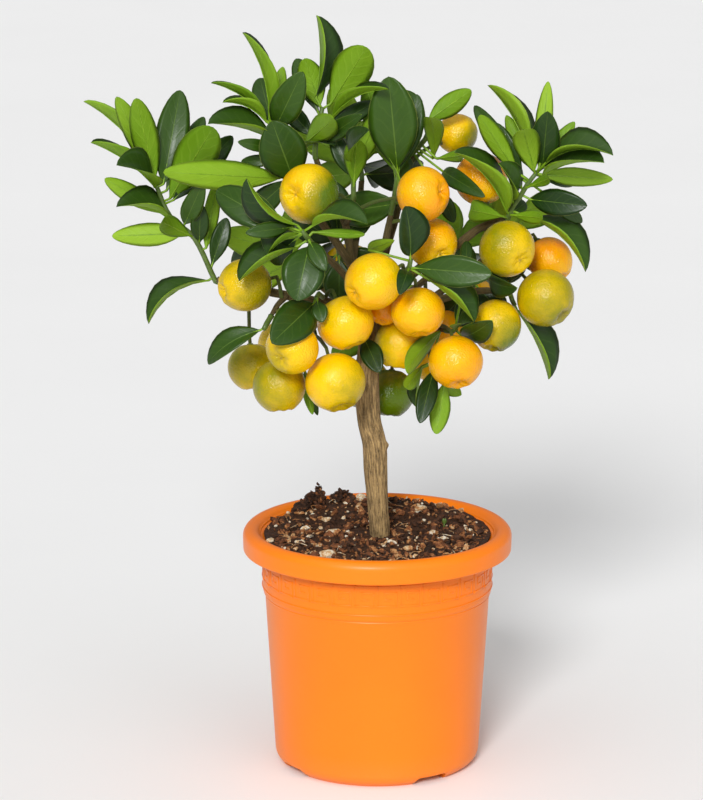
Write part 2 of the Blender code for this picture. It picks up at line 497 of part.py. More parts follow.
def make_soil(parts, cutters):
    """The soil fills the pot, a clearance inside its wall and floor."""
    wall = [(max(r - CLEARANCE, 0.0), z) for r, z in inner_profile()]
    wall[0], wall[1] = (0.0, wall[0][1] + CLEARANCE), (wall[1][0], wall[1][1] + CLEARANCE)
    edge = POT_HEIGHT - SOIL_DROP
    wall[-1] = (wall[-1][0], min(wall[-1][1], edge))
    rings = 5
    top = [(wall[-1][0] * i / rings, edge) for i in range(rings)]
    soil = turned("soil_turned", top + wall[:0:-1] + wall[:1], cutters, POT_SEGMENTS)
    graph = bpy.context.evaluated_depsgraph_get()
    bm = bmesh.new()
    bm.from_mesh(bpy.data.meshes.new_from_object(soil.evaluated_get(graph)))
    bpy.data.objects.remove(soil, do_unlink=True)
    bmesh.ops.remove_doubles(bm, verts=bm.verts, dist=1e-6)
    for vert in bm.verts:
        if abs(vert.co.z - edge) < 1e-6 and math.hypot(vert.co.x, vert.co.y) < wall[-1][0] - 1e-5:
            vert.co.z = soil_height(vert.co.x, vert.co.y)
    bmesh.ops.recalc_face_normals(bm, faces=bm.faces)
    soil = object_of(bm, "potting_soil", parts, material("soil", (0.10, 0.045, 0.02), 0.95))
    root = trunk_path()
    hole = [spot for spot in root if spot.z < POT_HEIGHT + 0.012]
    hole[0] = hole[0] + (hole[0] - hole[1]).normalized() * CLEARANCE
    radius = TRUNK_FOOT_RADIUS + CLEARANCE
    add_boolean(soil, "DIFFERENCE", as_helper(tube("root_hole_cutter", hole, (radius, radius), cutters, 3)))
    return soil


# ---------------------------------------------------------------- wood and fruit

def trunk_path():
    above = [seen(x, z, depth) for x, z, depth in TRUNK]
    foot = above[0] - Vector((0, 0, ROOT_DEPTH))
    return [foot] + smooth_path(above, 2)


def trunk_radii(path):
    """The trunk is narrower at the soil and above its fork."""
    radii = []
    for spot in path:
        rise = (spot.z - POT_HEIGHT) / MM
        swell = min(1.0, max(0.0, (rise - 14) / 30))
        taper = min(1.0, max(0.0, (rise - 95) / 45))
        radii.append(TRUNK_FOOT_RADIUS + (TRUNK_RADIUS - TRUNK_FOOT_RADIUS) * swell - 0.0025 * taper)
    return radii


def limb_paths():
    made = {}
    for name, (points, start, end) in LIMBS.items():
        path = smooth_path([seen(x, z, depth) for x, z, depth in points], 2)
        made[name] = (path, (start * LIMB_RADIUS, end * LIMB_RADIUS))
    return made


class Fruit:
    """A round fruit: its place, its half sizes and the axis from its blossom end to its stem."""

    def __init__(self, index, row):
        self.x, self.z, self.depth, width, height, across, up = row
        self.name = f"fruit_{index + 1:02d}"
        self.half_width, self.half_height = width / 2 * MM, height / 2 * MM
        self.radius = max(self.half_width, self.half_height)
        self.axis = None
        if across is not None:
            hidden = math.sqrt(max(0.0, 1 - across**2 - up**2))
            blossom = Vector((across, -hidden, up)).normalized()
            self.axis = (-blossom + Vector((0, 0, STEM_UP_AT_BACK))).normalized()

    @property
    def centre(self):
        return seen(self.x, self.z, self.depth)

    def stem_end(self):
        return self.centre + self.axis * (self.half_height * STEM_DIP + 2 * CLEARANCE)

    def aim_at(self, anchors):
        """Turns a fruit whose ends are out of sight so that its stem faces the nearest wood."""
        if self.axis is None:
            spot = min(anchors, key=lambda anchor: (anchor - self.centre).length)
            self.axis = (spot - self.centre).normalized()

    def push(self, other, gap):
        """Moves the fruit off a point by a change of depth if it can, and sideways if it must."""
        delta = self.centre - other
        short = gap - delta.length
        if short <= 0:
            return False
        flat = math.hypot(delta.x, delta.z)
        if flat < 0.9 * gap:
            self.depth += math.copysign(min(short, 0.002) / MM, delta.y)
        else:
            self.x += delta.x / flat * short / 2 / MM
            self.z += delta.z / flat * short / 2 / MM
        return True


def settle_fruit(fruits, wood):
    """Moves fruits apart, and off the wood, until none overlaps."""
    spots = [(spot, radius) for path, radii in wood
             for spot, radius in zip(path, [max(radii)] * len(path))]
    for _ in range(200):
        moved = False
        for fruit in fruits:
            for other in fruits:
                if other is not fruit:
                    gap = fruit.radius + other.radius + 2 * CLEARANCE
                    moved |= fruit.push(other.centre, gap)
            for spot, radius in spots:
                moved |= fruit.push(spot, fruit.radius + radius + 3 * CLEARANCE)
        if not moved:
            return


def fruit_mesh(fruit, inflate=0.0):
    """A flattened globe with a dimple at the blossom end and a small one at the stem."""
    bm = bmesh.new()
    bmesh.ops.create_uvsphere(bm, u_segments=12, v_segments=7, radius=1.0)
    for vert in bm.verts:
        dip = STEM_DIP + (1 - STEM_DIP) * min(1.0, math.hypot(vert.co.x, vert.co.y) / 0.4)
        vert.co.x *= fruit.half_width + inflate
        vert.co.y *= fruit.half_width + inflate
        vert.co.z *= (fruit.half_height + inflate) * dip
    turn = fruit.axis.to_track_quat("Z", "Y").to_matrix().to_4x4()
    bmesh.ops.transform(bm, matrix=Matrix.Translation(fruit.centre) @ turn, verts=bm.verts)
    return bm


def fruit_shape(fruit, inflate):
    bm = fruit_mesh(fruit, inflate)
    bm.verts.index_update()
    made = shape_of(bm, fruit.name)
    bm.free()
    return made


def stalk_path(fruit, anchor):
    end = fruit.stem_end()
    lead = end + fruit.axis * STALK_LEAD
    middle = (anchor + lead) / 2 + Vector((0, 0, 0.002))
    return [anchor, middle, lead, end]


def limb_anchors(limbs):
    return [spot for path, _ in limbs.values() for spot in path[1:]]


def route_stalks(fruits, limbs, placed):
    """Joins each fruit to the nearest wood that a clear stalk reaches."""
    anchors = limb_anchors(limbs)
    stalks = []
    for fruit in fruits:
        lead = fruit.stem_end() + fruit.axis * STALK_LEAD
        near = sorted(anchors, key=lambda spot: (spot - lead).length)[:40]
        others = [shape for shape in placed if shape.owner != fruit.name]
        for anchor in near:
            path = stalk_path(fruit, anchor)
            shape = tube_shape(path, (STALK_RADIUS + 2 * CLEARANCE, STALK_RADIUS + 2 * CLEARANCE))
            ways = [a.lerp(b, share) for a, b in zip(path[:-1], path[1:-1]) for share in (0, 0.25, 0.5, 0.75)]
            clear = min((spot - fruit.centre).length for spot in ways) > fruit.radius + 2 * STALK_RADIUS
            if clear and not any(shape.touches(other) for other in others):
                break
        else:
            path = stalk_path(fruit, near[0])
            print(f"{fruit.name}: no clear way for its stalk")
        stalks.append(path)
        placed.append(tube_shape(path, (STALK_RADIUS, STALK_RADIUS), "wood"))
    return stalks


# ---------------------------------------------------------------- leaves

class Leaf:
    """A leaf on a twig: a petiole from the twig to the blade's foot, and a folded, arched blade."""

    def __init__(self, name, root, foot, tip, breadth, look, arch):
        self.name, self.root, self.drawn_foot, self.drawn_tip = name, root, foot, tip
        self.breadth, self.look, self.drawn_arch = breadth, look, arch
        self.move(1.0, 0.0, 0.0, 0.0)

    def move(self, size, bend, turn, depth):
        """Sets the leaf's frame after a move from the place it is drawn at."""
        sight = (self.drawn_tip - LAYOUT_EYE).normalized()
        aim = self.drawn_tip + sight * (depth * MM)
        self.foot = self.drawn_foot + sight * (depth * MM * FOOT_SHARE)
        self.tip = self.foot + (aim - self.foot) * size
        self.along = (self.tip - self.foot).normalized()
        front = (LAYOUT_EYE - self.foot).normalized()
        up = (front - self.along * front.dot(self.along)).normalized()
        spin, fold = LOOKS[self.look[0]]
        if len(self.look) > 1 and self.along.cross(up).dot(Vector(SIDES[self.look[1]])) < 0:
            spin = -spin
        spin, fold = math.radians(spin), math.radians(fold)
        shown = (abs(math.cos(spin - fold)), abs(math.cos(spin + fold)))
        half = self.breadth * MM / (max(shown) if self.look[0] in "st" else sum(shown))
        self.half = min(half, WIDEST_LEAF / 2) * size
        up.rotate(Matrix.Rotation(spin + math.radians(turn), 3, self.along))
        self.up, self.side = up, self.along.cross(up)
        self.bow = (self.drawn_arch + bend) * (self.tip - self.foot).length
        self.lean = self.side * math.cos(fold), up * math.sin(fold)

    def point(self, u, v):
        """The leaf's surface: u from 0 at the twig to 1 at the tip, v from -1 to 1 across."""
        if u <= BLADE_START:
            return self.root.lerp(self.foot, u / BLADE_START) + self.side * (v * PETIOLE_HALF_WIDTH)
        share = (u - BLADE_START) / (1 - BLADE_START)
        width = self.half * math.sin(math.pi * share**0.92) ** 0.75 if share < 1 else 0.0
        width = max(width, PETIOLE_HALF_WIDTH * (1 - share))
        across, rise = self.lean
        middle = self.foot.lerp(self.tip, share) + self.up * (self.bow * 4 * share * (1 - share))
        return middle + (across * v + rise * abs(v)) * width


def leaf_shape(leaf, thickness, owner, first=1):
    """A closed test shape round the blade, from one of its stations to the tip."""
    points, faces = [], []
    rows = LEAF_STATIONS[first:]
    spread = 1 + thickness / 0.010
    for offset in (thickness / 2, -thickness / 2):
        lift = leaf.up * offset
        for u in rows:
            for v in (-spread, 0, spread):
                points.append(leaf.point(u, v) + lift)
    size = len(rows) * 3
    for row in range(len(rows) - 1):
        for col in range(2):
            a = row * 3 + col
            faces.append((a, a + 1, a + 4, a + 3))
            faces.append(tuple(size + i for i in (a + 3, a + 4, a + 1, a)))
        for a in (row * 3, row * 3 + 2):
            faces.append((a, a + 3, a + 3 + size, a + size))
    faces += [(0, 1, 1 + size, size), (1, 2, 2 + size, 1 + size)]
    return Shape(points, faces, owner)


def inside_a_fruit(leaf, fruits):
    spots = [leaf.point(u, v) for u in (0.3, 0.6, 0.9) for v in (-0.7, 0.7)]
    return any((spot - fruit.centre).length < fruit.radius for fruit in fruits for spot in spots)


def moves():
    """Every combination of moves, the smallest change first."""
    every = [(size, bend, turn, depth) for size in SIZE_MOVES for bend in ARCH_MOVES
             for turn in TURN_MOVES for depth in DEPTH_MOVES]
    return sorted(every, key=lambda m: (1 - m[0]) * 90 + abs(m[1]) * 60 + (abs(m[2]) + abs(m[3])) / 2)


def make_room(leaf, owner, placed, siblings, fruits, all_moves):
    """Finds the smallest move that clears the leaf of everything, or at least of other shoots."""
    spare = None
    for step in all_moves:
        leaf.move(*step)
        if inside_a_fruit(leaf, fruits):
            continue
        room = leaf_shape(leaf, LEAF_THICKNESS + 2 * LEAF_MARGIN, owner)
        petiole = [leaf.root.lerp(leaf.foot, 0.4), leaf.foot]
        stem = tube_shape(petiole, (PETIOLE_HALF_WIDTH + LEAF_MARGIN,) * 2, owner, 4)
        if any(room.touches(other) or stem.touches(other) for other in placed):
            continue
        outer = leaf_shape(leaf, LEAF_THICKNESS + LEAF_MARGIN, owner, 2)
        if not any(outer.touches(other) for other in siblings):
            return True
        spare = spare or step
        if step[0] < 0.8:
            break
    if spare:
        leaf.move(*spare)
        return True
    print(f"{owner}: {leaf.name} found no room")
    return False


def leaf_object(leaf, name, helpers):
    bm = bmesh.new()
    columns = len(LEAF_STATIONS) - 1
    bmesh.ops.create_grid(bm, x_segments=columns, y_segments=2, size=1.0)
    for vert in bm.verts:
        u = LEAF_STATIONS[round((vert.co.x + 1) / 2 * columns)]
        vert.co = leaf.point(u, round(vert.co.y))
    bmesh.ops.remove_doubles(bm, verts=bm.verts, dist=1e-6)
    obj = as_helper(object_of(bm, name, helpers))
    thick = obj.modifiers.new("Thickness", "SOLIDIFY")
    thick.thickness = LEAF_THICKNESS
    thick.offset = 0.0
    return obj


def nearest_on(path, spot):
    """The point of a path that is nearest to a spot."""
    best = None
    for a, b in zip(path, path[1:]):
        span = b - a
        share = min(1.0, max(0.0, (spot - a).dot(span) / span.length_squared))
        near = a + span * share
        if best is None or (near - spot).length < (best - spot).length:
            best = near
    return best


def rooting(twig):
    """The stretch of a twig that leaves grow from: all but its ends."""
    stop = twig[-1] + (twig[-2] - twig[-1]).normalized() * TWIG_RADIUS
    return [*twig[1:-1], stop]


def twig_of(limb, points, plane):
    path, _ = limb
    start = path[-1] + (path[-1] - path[-2]).normalized() * CLEARANCE
    lead = start + (path[-1] - path[-2]).normalized() * 0.002
    rest = [seen(x, z, depth, plane) for x, z, depth in points]
    return [start, lead, *rest]


def front_shoots(limbs):
    """Each front shoot's twig and leaves, before the leaves are moved apart."""
    made = {}
    for name, (limb, plane, points, rows) in SHOOTS.items():
        twig = twig_of(limbs[limb], points, plane)
        leaves = []
        for x, z, depth, foot_x, foot_z, breadth, look, arch in rows:
            tip = seen(x, z, depth, plane)
            near = min(twig[1:], key=lambda spot: (seen(foot_x, foot_z, spot.y / MM, plane) - spot).length)
            foot = seen(foot_x, foot_z, near.y / MM, plane)
            root = nearest_on(rooting(twig), foot)
            if (foot - root).length < PETIOLE_LENGTH:
                foot = root + (tip - root).normalized() * PETIOLE_LENGTH
            root += (foot - root).normalized() * (ROOT_STEP * (len(leaves) % 5))
            leaves.append(Leaf(len(leaves) + 1, root, foot, tip, breadth, look, arch))
        made[name] = (twig, leaves)
    return made


def back_shoots(limbs):
    """The shoots at the back: leaves in a spiral round each twig."""
    made = {}
    for name, (limb, heading, length, count, leaf_length) in BACK_SHOOTS.items():
        path, _ = limbs[limb]
        start = path[-1] + (path[-1] - path[-2]).normalized() * CLEARANCE
        lead = start + (path[-1] - path[-2]).normalized() * 0.002
        run = Vector(heading).normalized()
        twig = [start, lead, lead + run * length * MM * 0.5, lead + run * length * MM]
        side = run.cross(Vector((0, 0, 1))).normalized()
        leaves = []
        for index in range(count):
            share = (index + 0.6) / count
            root = nearest_on(rooting(twig), lead + run * length * MM * share)
            spin = Matrix.Rotation(index * GOLDEN_ANGLE, 3, run)
            outward = (spin @ side) * (1.25 - 0.55 * share) + run * (0.35 + 0.5 * share)
            outward.normalize()
            foot = root + outward * PETIOLE_LENGTH
            tip = foot + outward * leaf_length * MM * (0.8 + 0.25 * share) + Vector((0, 0, -0.006))
            look = "b" if index % 3 else "v"
            leaves.append(Leaf(index + 1, root, foot, tip, BACK_LEAF_BREADTH, look, 0.08))
        made[name] = (twig, leaves)
    return made


# ---------------------------------------------------------------- the whole plant

def lay_out():
    """Places every fruit, stalk, twig and leaf."""
    trunk, limbs = trunk_path(), limb_paths()
    wood = [(trunk, trunk_radii(trunk))] + [limbs[name] for name in limbs]
    fruits = [Fruit(index, row) for index, row in enumerate(FRUIT)]
    settle_fruit(fruits, wood)
    for fruit in fruits:
        fruit.aim_at(limb_anchors(limbs))
    placed = [fruit_shape(fruit, CLEARANCE) for fruit in fruits]
    shoots = {**front_shoots(limbs), **back_shoots(limbs)}
    for name, (twig, _) in shoots.items():
        shape = tube_shape(twig, (TWIG_RADIUS * 1.3, TWIG_RADIUS), name)
        for other in placed:
            if other.owner.startswith("fruit") and shape.touches(other):
                print(f"{name}: its twig meets {other.owner}")
        placed.append(shape)
    stalks = route_stalks(fruits, limbs, placed)
    placed.append(tube_shape(trunk, (TRUNK_RADIUS, TRUNK_RADIUS), "wood", 10))
    placed += [tube_shape(path, radii, "wood") for path, radii in limbs.values()]
    every_move = moves()
    kept = {name: (twig, []) for name, (twig, _) in shoots.items()}
    for name, (twig, leaves) in shoots.items():
        siblings = []
        others = [shape for shape in placed if shape.owner != name]
        for leaf in leaves:
            if make_room(leaf, name, others, siblings, fruits, every_move):
                siblings.append(leaf_shape(leaf, LEAF_THICKNESS, name, 2))
                placed.append(leaf_shape(leaf, LEAF_THICKNESS, name))
                placed.append(tube_shape([leaf.root, leaf.foot], (PETIOLE_HALF_WIDTH,) * 2, name, 4))
                kept[name][1].append(leaf)
    return trunk, limbs, fruits, stalks, kept


def make_wood(trunk, limbs, stalks, parts, cutters):
    helpers = new_collection("wood_pieces", hidden=True)
    bark = material("bark", (0.17, 0.11, 0.06), 0.85)
    wood = tube("trunk_and_branches", trunk, trunk_radii(trunk), parts, 3)
    wood.data.materials.append(bark)
    wood.data.shade_smooth()
    for name, (path, radii) in limbs.items():
        as_helper(tube("limb_" + name, path, radii, helpers, 1))
    for index, path in enumerate(stalks):
        as_helper(tube(f"stalk_{index + 1:02d}", path, (STALK_RADIUS * 1.2, STALK_RADIUS), helpers, 0))
    add_boolean(wood, "UNION", helpers)
    return wood


def make_fruit(fruits, parts):
    for index, fruit in enumerate(fruits):
        skin = material(f"skin_{index + 1:02d}", (0.85, 0.48, 0.02), 0.35)
        object_of(fruit_mesh(fruit), fruit.name, parts, skin)


def make_shoots(shoots, parts):
    for name, (twig, leaves) in shoots.items():
        helpers = new_collection(name + "_leaves", hidden=True)
        shoot = tube(name, twig, (TWIG_RADIUS * 1.3, TWIG_RADIUS), parts, 1)
        shoot.data.materials.append(material(name + "_green", (0.05, 0.14, 0.015), 0.4))
        for index, leaf in enumerate(leaves):
            leaf_object(leaf, f"{name}_leaf_{index + 1:02d}", helpers)
        # Where petioles crowd round a twig, EXACT leaves slivers that touch; MANIFOLD doesn't.
        add_boolean(shoot, "UNION", helpers, "MANIFOLD")


def main():
    clear_scene()
    parts = new_collection("potted_calamondin")
    cutters = new_collection("cutters", hidden=True)
    make_pot(parts, cutters)
    make_soil(parts, cutters)
    trunk, limbs, fruits, stalks, shoots = lay_out()
    make_wood(trunk, limbs, stalks, parts, cutters)
    make_fruit(fruits, parts)
    make_shoots(shoots, parts)


main()
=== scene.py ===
"""A potted calamondin, a small citrus tree with ripening fruit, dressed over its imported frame.

The file is laid out as an add-on and run as a script: each operator makes one group of pieces in
metres, +Z up, with the front of the plant facing -Y. The crown is laid out in millimetres on a front
view: x to the right, z up from the floor, and a depth y that is negative towards the front.
"""

import functools
import json
import math
import random

import bmesh
import bpy
from bpy.props import FloatProperty, FloatVectorProperty, IntProperty, PointerProperty
from mathutils import Matrix, Vector, noise
from mathutils.bvhtree import BVHTree

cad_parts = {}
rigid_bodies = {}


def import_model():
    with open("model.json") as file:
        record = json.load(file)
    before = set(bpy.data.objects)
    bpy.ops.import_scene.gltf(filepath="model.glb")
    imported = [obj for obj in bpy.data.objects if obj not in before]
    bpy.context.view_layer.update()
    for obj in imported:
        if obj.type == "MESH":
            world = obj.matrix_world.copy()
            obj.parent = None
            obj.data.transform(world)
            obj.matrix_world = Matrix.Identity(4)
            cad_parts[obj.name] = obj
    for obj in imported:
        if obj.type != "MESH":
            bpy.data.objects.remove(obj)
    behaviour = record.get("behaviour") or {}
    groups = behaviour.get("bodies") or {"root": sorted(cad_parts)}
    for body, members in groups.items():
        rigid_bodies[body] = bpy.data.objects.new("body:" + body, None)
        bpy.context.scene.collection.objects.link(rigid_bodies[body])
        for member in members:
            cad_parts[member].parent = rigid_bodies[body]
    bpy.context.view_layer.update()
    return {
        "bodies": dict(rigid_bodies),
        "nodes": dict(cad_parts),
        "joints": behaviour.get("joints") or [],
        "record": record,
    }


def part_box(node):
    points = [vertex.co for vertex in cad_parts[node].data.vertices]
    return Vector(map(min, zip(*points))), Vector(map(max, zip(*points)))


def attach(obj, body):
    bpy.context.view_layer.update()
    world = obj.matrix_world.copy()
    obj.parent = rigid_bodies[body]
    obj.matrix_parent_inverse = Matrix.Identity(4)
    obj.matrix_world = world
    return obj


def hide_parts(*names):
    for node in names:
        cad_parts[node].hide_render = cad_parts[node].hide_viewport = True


bl_info = {
    "name": "Potted Calamondin",
    "version": (1, 0, 0),
    "blender": (4, 5, 0),
    "location": "View3D > Sidebar > Calamondin",
    "description": "Builds a calamondin tree with its fruit, leaves, soil and plastic pot",
    "category": "Add Mesh",
}

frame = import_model()
POT_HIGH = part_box("pot")[1]

MM = 0.001
CLEARANCE = 0.0003  # gap between two pieces that touch

# The pot
POT_HEIGHT = round(POT_HIGH.z, 6)
RIM_RADIUS = round(POT_HIGH.x, 6)
RIM_DROP = 0.0145  # how far the rim's skirt hangs below the top
RIM_ROUND = 0.0054  # how round the rim is above its skirt
BAND_RADIUS = RIM_RADIUS - 0.0121  # the straight band under the rim
BAND_FOOT = POT_HEIGHT - 0.0419
LIP_RADIUS = BAND_RADIUS + 0.0008  # inner edge of the rim
BODY_TOP_RADIUS = BAND_RADIUS - 0.0018
BODY_FOOT_RADIUS = BODY_TOP_RADIUS - 0.0060
POT_WALL = 0.0018
POT_FLOOR = 0.0024
FOOT_ROUND = 0.0085
FOOT_RING_WIDTH = 0.0085
FOOT_HEIGHT = 0.0055
SKIRT_ROUND = 0.0013  # how round the foot of the rim's skirt is
BEAD_RISE = 0.0048  # a small bead's height above the band's foot
BEAD_ROUND = 0.0006
FOOT_NOTCH_WIDTH = 0.0230
FOOT_NOTCH_LENGTH = 0.0300
FOOT_NOTCH_ROUND = 0.0030
FOOT_NOTCH_RING = BODY_FOOT_RADIUS - 0.0060  # where a notch has its middle
FOOT_NOTCH_ANGLES = (-57.0, -148.0, 33.0, 123.0)  # degrees from +X
CENTRE_FOOT_RADIUS = 0.0150
DRAIN_HOLES = 4
DRAIN_HOLE_RADIUS = 0.0045
DRAIN_HOLE_RING = BODY_FOOT_RADIUS - 0.0294
POT_SEGMENTS = 144

# The potting soil
SOIL_DROP = 0.0045  # soil surface below the rim at the wall
SOIL_DIP = 0.0015  # how much lower the soil is at the trunk
SOIL_HEAP = 0.0080  # how much higher it is heaped behind the trunk
SOIL_HEAP_REACH = 0.0550
SOIL_LUMPS = 0.0011
ROOT_DEPTH = 0.0300

# The wood
TRUNK_FOOT_RADIUS = 0.0063
TRUNK_RADIUS = 0.0075
LIMB_RADIUS = 0.0029
STALK_RADIUS = 0.0011
TWIG_RADIUS = 0.0014
TWIG_LEAD = 0.002  # length of twig that goes straight on from its limb

# Leaves and fruit
LEAF_THICKNESS = 0.0007  # room that a leaf takes when the leaves are moved apart
PETIOLE_HALF_WIDTH = 0.0009
PETIOLE_LENGTH = 0.0035
ROOT_STEP = 0.00015  # neighbouring petioles start at slightly different depths in their twig
LEAF_MARGIN = 0.00045  # room kept round a leaf
BLADE_START = 0.14  # share of the leaf that is its stalk
FOOT_SHARE = 0.3  # how far the blade's foot moves in depth when its tip moves
LEAF_STATIONS = (0.0, BLADE_START, 0.38, 0.72, 1.0)
WIDEST_LEAF = 0.0320
STEM_DIP = 0.93  # how flat a fruit is at its two ends
STALK_LEAD = 0.0055  # length of stalk that leaves a fruit along its axis

LAYOUT_POT_HEIGHT = 151.9  # mm: the pot's height on the front view that the crown is laid out on
LAYOUT_EYE = Vector((-0.0162, -2.420, 0.830))  # the point that the front view is drawn from
LAYOUT_PITCH = 13.85  # degrees that the front view looks down
LAYOUT_LENS = 180.0  # mm

# Woody parts: points (x, z, depth) in mm, and the radius at each end over LIMB_RADIUS
TRUNK = [(1.7, 146, 0), (-0.2, 174.6, 0), (-1.1, 190, 0), (-2, 206, 0), (-4.8, 218, 0),
         (-6, 230, 0), (-6.6, 251, 1), (-5.5, 268, 6), (-4, 286, 11)]
LIMBS = {
    "left": ([(-4, 284, 11), (-26, 293, 8), (-56, 300, -6), (-80, 305, -6), (-99, 310, 0)], 1.15, 0.75),
    "up_left": ([(-5, 284, 11), (-16, 318, 14), (-34, 345, 8), (-49, 366, -2)], 1.2, 0.62),
    "up_middle": ([(-16, 318, 14), (-20, 345, 18), (-33, 372, 14), (-38, 386, 8)], 0.9, 0.6),
    "up_inner": ([(-20, 345, 18), (-16, 352, 8), (-15, 361, -2)], 0.7, 0.5),
    "up_right": ([(-4, 284, 11), (2, 318, 14), (6, 340, 12), (8, 351, 8)], 1.2, 0.6),
    "crown_right": ([(2, 318, 14), (10, 345, 24), (16, 372, 26), (21, 388, 20)], 0.9, 0.6),
    "right": ([(-3, 284, 11), (22, 314, 16), (48, 331, 6), (62, 342, 2), (78, 348, 2)], 1.15, 0.75),
    "right_low": ([(-3, 282, 11), (28, 294, 20), (56, 302, 16), (72, 303, 8), (80, 302, 2)], 1.0, 0.6),
    "front_left": ([(-5, 284, 11), (-14, 304, -4), (-27, 320, -22), (-38, 330, -40)], 0.9, 0.6),
    "front_right": ([(-2, 286, 11), (8, 303, -8), (14, 311, -24), (18, 316, -34)], 0.9, 0.6),
    "low_right": ([(-3, 280, 10), (18, 282, 14), (34, 280, 4), (42, 278, -6)], 0.9, 0.55),
    "low_front": ([(18, 282, 14), (28, 272, 6), (33, 262, -4)], 0.7, 0.5),
    "low_left": ([(-26, 293, 8), (-38, 282, 8), (-44, 268, 4)], 0.7, 0.45),
    "left_front": ([(-26, 293, 8), (-31, 297, -10), (-34, 299, -22)], 0.7, 0.5),
    "left_spur": ([(-56, 300, -6), (-62, 294, -22), (-66, 287, -36)], 0.7, 0.45),
    "trunk_leaf": ([(-4, 280, 9), (-8, 282, 0), (-9, 280, -5)], 0.6, 0.5),
    "heart": ([(-5, 284, 11), (-14, 303, 26), (-22, 320, 30)], 0.8, 0.5),
    "heart_right": ([(28, 294, 20), (44, 300, 30), (56, 304, 32)], 0.7, 0.5),
    "back_left": ([(-5, 284, 11), (-28, 300, 36), (-48, 318, 54)], 1.0, 0.6),
    "back_right": ([(-3, 284, 11), (20, 302, 40), (38, 318, 56)], 1.0, 0.6),
    "back_top": ([(-16, 318, 14), (-12, 348, 40), (-10, 372, 50)], 0.9, 0.6),
    "back_low": ([(-4, 282, 11), (-6, 284, 40), (-4, 282, 58)], 0.9, 0.6),
    "back_far_right": ([(28, 294, 20), (52, 312, 38), (74, 330, 42)], 0.8, 0.55),
}

# Fruit: x and z (mm, front view), depth y, width, height, and where the blossom end shows, in radii
FRUIT = [
    (-42.3, 364.1, -24, 37.0, 36.0, -0.55, 0.35),
    (-82.1, 306.6, -16, 32.5, 33.5, -0.90, 0.10),
    (-2.5, 308.8, -48, 34.5, 36.5, -0.80, -0.10),
    (-20.2, 281.0, -30, 35.5, 33.0, 0.45, -0.80),
    (-53.0, 266.8, -50, 33.0, 31.5, -0.55, -0.10),
    (-78.1, 254.5, 3, 30.5, 30.0, 0.10, -0.95),
    (48.5, 401.3, 34, 25.0, 26.0, None, None),
    (63.4, 373.3, 12, 33.0, 33.0, None, None),
    (27.8, 363.9, -26, 34.0, 31.5, 0.75, 0.45),
    (33.5, 333.1, -8, 31.5, 31.0, 0.42, -0.15),
    (79.8, 329.4, -10, 35.0, 34.5, 0.55, -0.08),
    (-61.3, 242.3, -24, 33.0, 33.5, 0.10, -0.95),
    (-26.0, 245.7, -38, 37.5, 36.0, 0.30, -0.75),
    (25.0, 289.5, -36, 33.5, 30.5, 0.10, -0.85),
    (13.6, 269.8, -10, 32.0, 32.0, -0.20, -0.95),
    (48.6, 257.7, -30, 34.0, 32.5, 0.15, -0.70),
    (7.8, 237.8, 30, 31.0, 31.0, -0.10, -0.95),
    (106.4, 322.4, 14, 28.0, 29.5, 0.60, -0.60),
    (102.8, 297.8, -10, 36.0, 35.5, 0.72, -0.38),
    (74.0, 281.3, -14, 31.5, 32.5, -0.25, -0.80),
    (4.5, 291.0, -12, 20.0, 20.0, None, None),
    (42.0, 277.0, 22, 27.0, 27.0, None, None),
    (-58.0, 268.0, 62, 34.0, 32.0, -0.30, -0.90),
    (34.0, 262.0, 66, 35.0, 33.0, 0.20, -0.90),
    (-18.0, 316.0, 74, 36.0, 34.0, 0.10, -0.80),
    (58.0, 296.0, 70, 33.0, 32.0, 0.50, -0.70),
    (-8.0, 244.0, 76, 33.0, 33.0, 0.00, -0.95),
]
STEM_UP_AT_BACK = 0.25  # how far a hidden stem end leans up, so that a stalk can reach it

# How a leaf lies: turn (0 shows the upper side, 180 the underside) and fold along the midrib, degrees.
# u shows the upper side, b the underside; s shows the upper side with a strip of the underside along
# the midrib, and t and c the underside with a strip of the upper side along the far edge.
LOOKS = {"u": (0, 15), "b": (180, 15), "s": (66, 35), "t": (83, 38), "c": (93, 37), "v": (38, 20)}
SIDES = {"L": (-1, 0, 0), "R": (1, 0, 0), "T": (0, 0, 1), "B": (0, 0, -1)}

